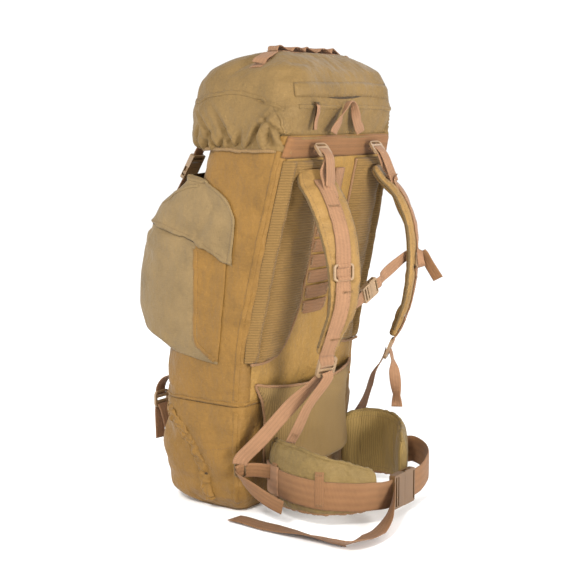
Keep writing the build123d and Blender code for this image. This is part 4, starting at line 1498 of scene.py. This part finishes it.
def build_belt_webbing(side, wing, stations):
    """Webbing on the padded half and on to the buckle, with its keepers and root patch."""
    body = side_name("belt", side)
    tree = surface_tree(wing)
    f = mirrored(side, MM)
    line = []
    for k in range(6, 52 if side > 0 else 34, 5):
        c, _, o, _, t = stations[k]
        line.append(np.array((c[0], c[1], 0.071 - 0.018 * (k / 54) ** 1.5)) + o * (t + 2.2 * MM))
    if side > 0:
        line += [f((84, 254, 52))]
    else:
        line += [f((160, 186, 68)), f((146, 218, 64)), f((118, 242, 60)), f((92, 252, 54))]
    line += [f((66, 257, 49)), f((44, 257, 46)), f((32, 257, 46))]
    web = strap(side_name("belt_webbing", side) + "_strap", line, UP, 48 * MM, WEB_DARK, body,
                [side_name("belt_webbing", side)], 2.2 * MM, cup=0.4 * MM,
                widths=([0, 0.75, 0.85, 1], [48 * MM, 48 * MM, 46 * MM, 47 * MM]))
    lay_on(web, tree, 2.2 * MM)
    for index in (14, 36):
        c, _, o, _, t = stations[index]
        loop = [np.array((c[0], c[1], z)) + o * (t + lift) for z, lift in
                ((40 * MM, 0.6 * MM), (45 * MM, 4.2 * MM), (70 * MM, 5.0 * MM), (95 * MM, 4.2 * MM),
                 (100 * MM, 0.6 * MM))]
        along = np.cross(o, UP)
        strap(f"{side_name('belt_keeper', side)}_{index}", loop, along, 15 * MM, WEB_DARK, body)
        for z in (45, 95):
            bartack(body, np.array((c[0], c[1], z * MM)) + o * (t + 5.2 * MM), along, UP, 12 * MM,
                    4 * MM)
    root = stations[5:18:3]
    line = [np.array((c[0], c[1], PATCH_Z)) + o * (t + 3.9 * MM) for c, _, o, _, t in root]
    patch = strap(side_name("belt_root_patch", side), line, UP, 50 * MM, WEB, body)
    lay_on(patch, tree, 4 * MM)
    for z in (48, 70, 92):
        stitch(body, [p + (0, 0, z * MM - PATCH_Z) + station[2] * 1.1 * MM
                      for p, station in zip(line, root)])


def build_stabiliser(side):
    """Webbing from the wing's root through the corner ring, with its loose tail."""
    f = mirrored(side, MM)
    line = [f(p) for p in ((150, 92, 82), (158, 74, 84), (168, 58, 84), (177, 48.5, 82),
                           (182, 44, 80))]
    piece = strap(side_name("belt_stabiliser", side) + "_strap", line, (0, 0.2, 1), 25 * MM, WEB_DARK)
    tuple(f((172, 54, 84)))
    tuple(f((152, 88, 82)))
    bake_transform(piece)
    tail = [f(p) for p in ((181, 46, 76), (186, 56, 72), (188, 74, 64), (187, 100, 51),
                           (185, 122, 42), (183, 138, 37))]
    wide = [f(p) for p in ((300, -400, 820), (300, -350, 800), (200, -300, 850), (150, -420, 850),
                           (150, -420, 850), (150, -420, 850))]
    end = strap(side_name("stabiliser_tail", side), tail, wide, 26 * MM, WEB_DARK, wave=0.6 * MM)
    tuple(f((183, 48, 75)))
    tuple(f((187, 84, 60)))
    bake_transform(end)


FLOOR_GAP = 0.7 * MM


def build_belt_tail():
    """Long free end of the belt webbing: out of the buckle, folded over and back along the floor."""
    f = mirrored(1, MM)
    line = [f(p) for p in ((30, 259.5, 44), (46, 265, 38), (72, 274, 27), (112, 283, 13),
                           (160, 286, 9), (204, 281, 12), (213, 268, 13), (207, 240, 9),
                           (196, 180, 5.5), (190, 110, 2.6), (188, 62, 4.0), (187, 42, 3.0))]
    wide = [(0, 0.12, 1), (0, 0.45, 0.9), (0.1, 0.8, 0.55), (0.2, 0.95, 0.25), (0.3, 0.90, 0.35),
            (0.72, 0.55, 0.50), (0.85, 0.20, 0.55), (0.92, -0.15, 0.38), (0.97, -0.1, 0.16), (1, 0, 0.05),
            (0.99, 0.03, 0.10), (1, 0, 0.04)]
    tail = strap("belt_tail_webbing", line, wide, 46 * MM, WEB_DARK, None, ["belt_tail"],
                 widths=([0, 0.5, 0.56, 0.9, 1], [46 * MM, 44 * MM, 40 * MM, 40 * MM, 36 * MM]))
    points = points_of(tail)
    points[:, 2] = np.maximum(points[:, 2], FLOOR_GAP)
    set_points(tail, points)
    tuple(f((186, 90, 0)))
    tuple(f((120, 285, 12)))
    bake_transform(tail)


# ---------------------------------------------------------------- lid details
def twin_stitch(body, points, tree):
    """Rows of stitches both sides of a seam."""
    for offset in (-2.2, 2.2):
        stitch(body, [(x, y, z + offset * MM) for x, y, z in points], tree)


# material, body, replaced nodes and slot of a seam strip
ON_BAG = (SIDE, "pack", (), "side_fabric")
ON_POCKET = (POCKET, "pack", (), "pocket_fabric")
ON_LID = (LID, "lid", (), "lid_fabric")
ZIP_TOP = 0.714          # middle height of the flap over the lid's zip


def build_lid_details(lid):
    """Hem, zip, seams and the chain of loops on the lid."""
    tree = surface_tree(lid)
    hem_z = box("lid_shell")[0].z
    ring = full_outline(*lid_section(hem_z + 1 * MM), *LID_CORNERS)
    hem = [(x, y, lid_low(y) + 1.5 * MM * sin(40 * (x + y))) for x, y in ring if y < 0.128]
    hem = [tuple(on_surface(tree, spot)[0]) for spot in hem]
    gaps = [hypot(a[0] - b[0], a[1] - b[1]) for a, b in zip(hem, hem[-1:] + hem[:-1])]
    start = gaps.index(max(gaps))
    hem = hem[start:] + hem[:start]
    tube("lid_hem_binding", hem[::3], 3.0 * MM, LID_EDGE, "lid", pucker=0.3,
         stands_for=["lid_hem"], sides=10)
    half = box("lid_zip_flap")[1].x
    flap = [(-0.158, 0.128, ZIP_TOP - 12 * MM), (-0.135, 0.142, ZIP_TOP - 4 * MM),
            (-half * 0.3, 0.15, ZIP_TOP + 2 * MM), (0.03, 0.15, ZIP_TOP),
            (half * 0.75, 0.148, ZIP_TOP), (0.150, 0.142, ZIP_TOP - 1 * MM)]
    applied("lid_zip_cover", tree, flap, 24 * MM, 2.6 * MM, LID, "lid", ["lid_zip_flap"],
            "lid_fabric")
    rear = [(-0.150, 0.132, ZIP_TOP - 31 * MM), (-0.05, 0.15, ZIP_TOP - 29 * MM),
            (0.06, 0.15, ZIP_TOP - 29 * MM), (0.142, 0.142, ZIP_TOP - 28 * MM)]
    applied("lid_rear_seam", tree, rear, 7 * MM, 1.3 * MM, *ON_LID)
    twin_stitch("lid", rear, tree)
    for side in (-1, 1):
        seam = flip(LID_SEAM, side)
        applied(side_name("lid_side_seam", side), tree, seam, 7 * MM, 1.4 * MM, *ON_LID)
        twin_stitch("lid", seam, tree)
    front = [(-0.172, -0.055, 0.700), (-0.13, -0.08, 0.698), (0, -0.09, 0.700), (0.13, -0.08, 0.698),
             (0.172, -0.055, 0.700)]
    applied("lid_front_seam", tree, front, 7 * MM, 1.4 * MM, *ON_LID)
    low, high = box("lid_zip")
    route = [(x, 0.149, 0.7010 + 12 * (x - 0.02) ** 2 * 0.1)
             for x in np.linspace(low.x - 18 * MM, high.x + 6 * MM, 7)]
    applied("lid_zip_tape", tree, route, 4 * MM, 0.7 * MM, ZIP_TAPE, "lid", ["lid_zip"], "zip_tape")
    for side in (-1, 1):
        corner = [(0.166, 0.112, 0.684), (0.164, 0.124, 0.665), (0.160, 0.130, 0.640)]
        applied(side_name("lid_corner_seam", side), tree, flip(corner, side), 6 * MM, 1.4 * MM,
                *ON_LID)
    low, high = box("daisy_chain")
    y, x0, x1 = 0.056, low.x - 28 * MM, high.x + 24 * MM
    base = [tuple(drop(tree, x, y)) for x in np.linspace(x0 - 6 * MM, x1 + 6 * MM, 9)]
    applied("daisy_chain_base", tree, base, 26 * MM, 1.6 * MM, WEB, "lid")
    loops, across, count = [], [], 7
    pitch = (x1 - x0) / count
    for k in range(count):
        left = x0 + pitch * k
        for share, rise, lean in ((0.0, 0.6, 0), (0.20, 2.6, -1.5), (0.50, 6.4, -2.5),
                                  (0.78, 6.8, -1.0), (0.93, 2.0, 0)):
            x = left + pitch * share
            height = drop(tree, x, y)[2] + (rise + 1.2) * MM
            loops.append((x, y + lean * MM * (1 if k % 2 else -1), height))
            across.append((0.30 if k % 2 else -0.22, 1, 0))
    strap("daisy_chain_webbing", loops, across, 25 * MM, WEB, "lid", ["daisy_chain"], 1.5 * MM,
          1.6 * MM)
    for k in range(count + 1):
        bartack("lid", drop(tree, x0 + pitch * k, y) + (0, 0, 3.4 * MM), (0, 1, 0), (1, 0, 0),
                23 * MM, 2.6 * MM)


def build_zip_pull():
    """Webbing pull that hangs from the lid's slider."""
    low, high = box("lid_zip_slider")
    x, y = (low.x + high.x) / 2, 0.1528
    line = [(x, y - 1 * MM, 0.6905), (x, y + 1.2 * MM, 0.687), (x - 1 * MM, y, 0.676),
            (x + 1 * MM, y - 3 * MM, 0.662), (x, y - 5.0 * MM, 0.649)]
    strap("lid_zip_pull", line, (1, 0.1, 0), 9 * MM, WEB, "lid_slider")


def build_haul_loop():
    """Twisted loop above the top band."""
    line = [(0.050, 0.1480, 0.6425), (0.048, 0.1485, 0.648), (0.040, 0.152, 0.660), (0.031, 0.156, 0.678),
            (0.021, 0.158, 0.692), (0.011, 0.158, 0.6945), (0.002, 0.157, 0.688), (-0.008, 0.154, 0.672),
            (-0.019, 0.151, 0.656), (-0.030, 0.1485, 0.648), (-0.033, 0.1480, 0.6425)]
    wide = [(1, 0.1, 0.25), (1, 0.1, 0.25), (0.9, 0.35, 0.3), (0.6, 0.8, 0.2), (0.2, 1, 0.1), (0, 1, 0),
            (-0.2, 1, 0.1), (-0.6, 0.75, 0.2), (-0.95, 0.3, 0.3), (-1, 0.1, 0.25), (-1, 0.1, 0.25)]
    strap("haul_loop_webbing", line, wide, 20 * MM, WEB, "haul_loop", ["haul_loop"],
          widths=([0, 0.3, 0.5, 0.7, 1], [22 * MM, 16 * MM, 10 * MM, 16 * MM, 22 * MM]))


# ---------------------------------------------------------------- bottom and front details
# y and z of the bottom zip along the side, from its end up to the front corner, in millimetres
ZIP_ROUTE = [(-22, 14), (-26, 34), (-33, 76), (-58, 126), (-101, 163)]


def build_bottom_details(shell):
    """Bottom zip with its gathered storm flap, and the compression straps."""
    tree = surface_tree(shell)
    right = [(0.175, y * MM, z * MM) for y, z in ZIP_ROUTE]
    corner = [(0.166, -0.128, 0.163), (0.130, -0.146, 0.164), (0.06, -0.146, 0.165)]
    path = right + corner + [(0, -0.146, 0.166)] + [(-x, y, z) for x, y, z in corner[::-1]]
    path += [(-x, y, z) for x, y, z in right[::-1]]
    applied("bottom_zip_tape", tree, path, 13 * MM, 1.1 * MM, ZIP_TAPE, "pack", ["bottom_zip"],
            "zip_tape")
    line, run = curve_points(path, 2.2 * MM)
    verts, columns = [], 15
    for index, point in enumerate(line):
        spot, normal = on_surface(tree, point)
        spot_next, _ = on_surface(tree, line[min(index + 1, len(line) - 1)])
        spot_last, _ = on_surface(tree, line[max(index - 1, 0)])
        tangent = (spot_next - spot_last) / (np.linalg.norm(spot_next - spot_last) + 1e-9)
        sideways = np.cross(normal, tangent)
        for c in range(columns):
            v = c / (columns - 1)
            phase = noise.noise(Vector((run[index] * 45, v * 2.4, 0)))
            tuck = sin(run[index] / (2.4 * MM) + 6 * phase)
            puffy = noise.noise(Vector((run[index] * 110, v * 1.4, 4.0)))
            edge = 1 - (2 * v - 1) ** 4
            sway = 2.5 * MM * noise.noise(Vector((run[index] * 70, 9.0, 2.0)))
            across = (v - 0.5) * (22 * MM + 3 * MM * tuck) + sway
            lift = edge * (3.6 * MM + 4.0 * MM * puffy + 1.6 * MM * tuck)
            verts.append(spot + sideways * across + normal * (lift + 0.3 * MM))
    flap = make("bottom_zip_storm_flap", verts, grid_faces(len(line), columns, False), SIDE, "pack",
                ["bottom_zip_flap"], centre=(0, -0.04, 0.1))
    finish_cloth(flap, 0.8 * MM)
    for side in (-1, 1):
        x = side * 0.122
        top = [(x, -0.141, 0.216), (x, -0.158, 0.209), (x, -0.170, 0.196), (x, -0.1745, 0.182),
               (x, -0.1715, 0.176)]
        strap(side_name("compression_strap", side), top, (1, 0, 0), 25 * MM, WEB, "pack",
              ["compression_straps"] if side > 0 else ())
        tail = [(x, -0.1715, 0.162), (x, -0.1755, 0.154), (x, -0.1765, 0.130),
                (x + side * 2 * MM, -0.174, 0.096)]
        strap(side_name("compression_tail", side), tail, (1, 0, 0), 25 * MM, WEB, "pack",
              wave=0.6 * MM)
        inner = [(x, -0.1705, 0.160), (x, -0.163, 0.146), (x, -0.154, 0.120), (x, -0.1465, 0.104)]
        strap(side_name("compression_anchor", side), inner, (1, 0, 0), 25 * MM, WEB, "pack")


STRAP_X = 88 * MM
BUCKLE = np.array((0, -121, 583)) * MM          # middle of a lid buckle, and the way its strap runs
BUCKLE_RUN = np.array((0, -0.52, -0.854))


def build_front_straps():
    """Webbing above and below the lid's buckles."""
    for side in (-1, 1):
        x = np.array((side * STRAP_X, 0, 0))
        spot = BUCKLE + x
        top = [x + (0, -0.084, 0.640), x + (0, -0.088, 0.632),
               spot - BUCKLE_RUN * 34 * MM + (0, -0.001, 0), spot - BUCKLE_RUN * 21 * MM,
               spot - BUCKLE_RUN * 16 * MM]
        strap(side_name("lid_strap", side), top, (1, 0, 0), 25 * MM, WEB, "lid",
              ["lid_straps"] if side > 0 else ())
        low = [spot + BUCKLE_RUN * 18 * MM, spot + BUCKLE_RUN * 26 * MM, x + (0, -0.155, 0.530),
               x + (0, -0.170, 0.506), x + (0, -0.178, 0.480)]
        strap(side_name("socket_webbing", side), low, (1, 0, 0), 25 * MM, WEB, "pack",
              ["socket_webbings"] if side > 0 else ())


def round_mouth(half, rise):
    """Path round the pocket's mouth from its x and y on the right side."""
    half = [(x, y, mouth_z(y) + rise) for x, y in half]
    return half + flip(half[::-1], -1)


def build_pocket_details(pocket, hood):
    """Zip, hem, seams and pleats of the pocket and its hood."""
    tree, hood_tree = surface_tree(pocket), surface_tree(hood)
    route = round_mouth([(0.182, -0.01), (0.184, -0.06), (0.182, -0.11), (0.150, -0.165),
                         (0.06, -0.18)], 7 * MM)
    applied("pocket_zip_tape", tree, route, 8 * MM, 0.8 * MM, ZIP_TAPE, "pack", ["pocket_zip"],
            "zip_tape")
    hem = round_mouth([(0.182, 0.020), (0.186, -0.036), (0.187, -0.100), (0.155, -0.165),
                       (0.07, -0.183)], 9 * MM)
    stitch("pack", hem, hood_tree)
    for side in (-1, 1):
        rim = [(0.179, y * MM - 0.003, z * MM) for z, y in zip(*HOOD_EDGE)]
        applied(side_name("hood_seam", side), hood_tree, flip(rim, side), 7 * MM, 1.2 * MM,
                *ON_POCKET)
        stitch("pack", flip([(x, y - 4 * MM, z) for x, y, z in rim], side), hood_tree)
        fold = [(0.184, -0.139, 0.545), (0.186, -0.080, 0.551), (0.185, -0.035, 0.560)]
        applied(side_name("hood_pleat", side), hood_tree, flip(fold, side), 6 * MM, 1.4 * MM,
                *ON_POCKET)
        seam = [(0.184, -0.037, 0.452), (0.185, -0.037, 0.38), (0.185, -0.040, 0.30),
                (0.184, -0.024, 0.282), (0.180, 0.000, 0.266)]
        applied(side_name("pocket_side_seam", side), tree, flip(seam, side), 8 * MM, 1.0 * MM,
                *ON_BAG)
        stitch("pack", flip([(x, y + 4 * MM, z) for x, y, z in seam], side), tree)


def back_edge(section_at, levels, inset, side):
    """Path down the bag a little in from its back corner."""
    path = []
    for z in levels:
        _, back, half = section_at(z)
        path.append((side * (half - 2 * MM), back - inset, z))
    return path


def build_bag_seams(bag, bottom):
    """Seam between the compartments, and those along the back corners."""
    bag_tree, low_tree = surface_tree(bag), surface_tree(bottom)
    seam_z = box("main_bag")[0].z + 1 * MM
    ring = full_outline(*BAG(seam_z), FRONT_R, BACK_R)
    ring = [(x, y, seam_z + 1 * MM) for x, y in ring[::6]]
    ring.append(ring[0])
    applied("compartment_seam", bag_tree, ring, 8 * MM, 1.6 * MM, *ON_BAG)
    stitch("pack", [(x, y, z + 6 * MM) for x, y, z in ring], bag_tree)
    for side in (-1, 1):
        edge = back_edge(bag_wall, np.linspace(0.200, 0.632, 12), 12 * MM, side)
        applied(side_name("bag_edge_seam", side), bag_tree, edge, 9 * MM, 0.9 * MM, *ON_BAG)
        stitch("pack", [(x, y - 5 * MM, z) for x, y, z in edge], bag_tree)
        low = back_edge(BOTTOM, np.linspace(0.020, 0.180, 6), 11 * MM, side)
        applied(side_name("bottom_edge_seam", side), low_tree, low, 9 * MM, 0.9 * MM, *ON_BAG)
        row = [(side * 0.177, y, z) for y, z in ((-0.036, 0.109), (0, 0.114), (0.036, 0.121))]
        stitch("pack", row, low_tree)


# ---------------------------------------------------------------- what shows when the lid is open
def build_collar():
    """Gathered sleeve inside the bag's rim, held by its eyelets' hem."""
    low, high = box("snow_collar")
    rows = []
    for k, (z, grow) in enumerate(((0.636, -0.004), (0.642, -0.003), (0.650, -0.006),
                                   (0.658, -0.009), (0.664, -0.010), (0.6645, -0.012),
                                   (0.660, -0.013))):
        free = min(1, k / 2)
        outline = full_outline(low.y - grow, high.y + grow - 10 * MM * free, high.x + grow,
                               50 * MM, 16 * MM)
        rows.append([(x * (1 + 0.004 * sin(90 * (x + y)) * free),
                      y + 1.2 * MM * sin(110 * (x - y)) * free * 0.5, z) for x, y in outline])
    collar = make("snow_collar_sleeve", sum(rows, []), grid_faces(len(rows), len(rows[0]), True),
                  COLLAR, "pack", ["snow_collar"], centre=(0, 0.04, 0.65))
    finish_cloth(collar, 1.0 * MM)


def dress_cad():
    """Better materials for the CAD nodes that stay."""
    looks = {PLASTIC: ["lid_plugs", "lid_sockets", "compression_buckles", "lifter_buckles", "strap_rings",
                       "sternum_plug", "sternum_socket", "ladder_lock_right", "ladder_lock_left"],
             PLASTIC_DARK: ["belt_plug", "belt_socket"],
             SLIDER: ["lid_zip_slider", "pocket_zip_slider", "bottom_zip_slider", "corner_rings"],
             BRASS: ["collar_eyelets"], SHEET: ["frame_sheet"], ALUMINIUM: ["frame_stays"],
             SIDE: ["base_panel", "compartment_divider"]}
    for material, nodes in looks.items():
        for node in nodes:
            NODES[node].data.materials.clear()
            NODES[node].data.materials.append(material)


add_camera()
add_stage()
dress_cad()
BAG_PIECE = build_main_bag()
BOTTOM_PIECE = build_bottom()
POCKET_PIECE, HOOD_PIECE = build_pocket(BAG_PIECE)
LID_PIECE = build_lid(BAG_PIECE)
build_back_cover()
for WHICH in (1, -1):          # right, then left
    build_mesh_pad(WHICH)
    build_shoulder(WHICH)
    build_strap_webbings(WHICH)
    build_belt_webbing(WHICH, *build_wing(WHICH))
    build_stabiliser(WHICH)
build_back_webbing(BAG_PIECE)
build_lumbar()
build_sternum()
build_belt_tail()
build_lid_details(LID_PIECE)
build_zip_pull()
build_haul_loop()
build_bottom_details(BOTTOM_PIECE)
build_front_straps()
build_pocket_details(POCKET_PIECE, HOOD_PIECE)
build_bag_seams(BAG_PIECE, BOTTOM_PIECE)
build_collar()
add_stitching()
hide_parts("belt_stabilisers")
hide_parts("lifter_webbings")
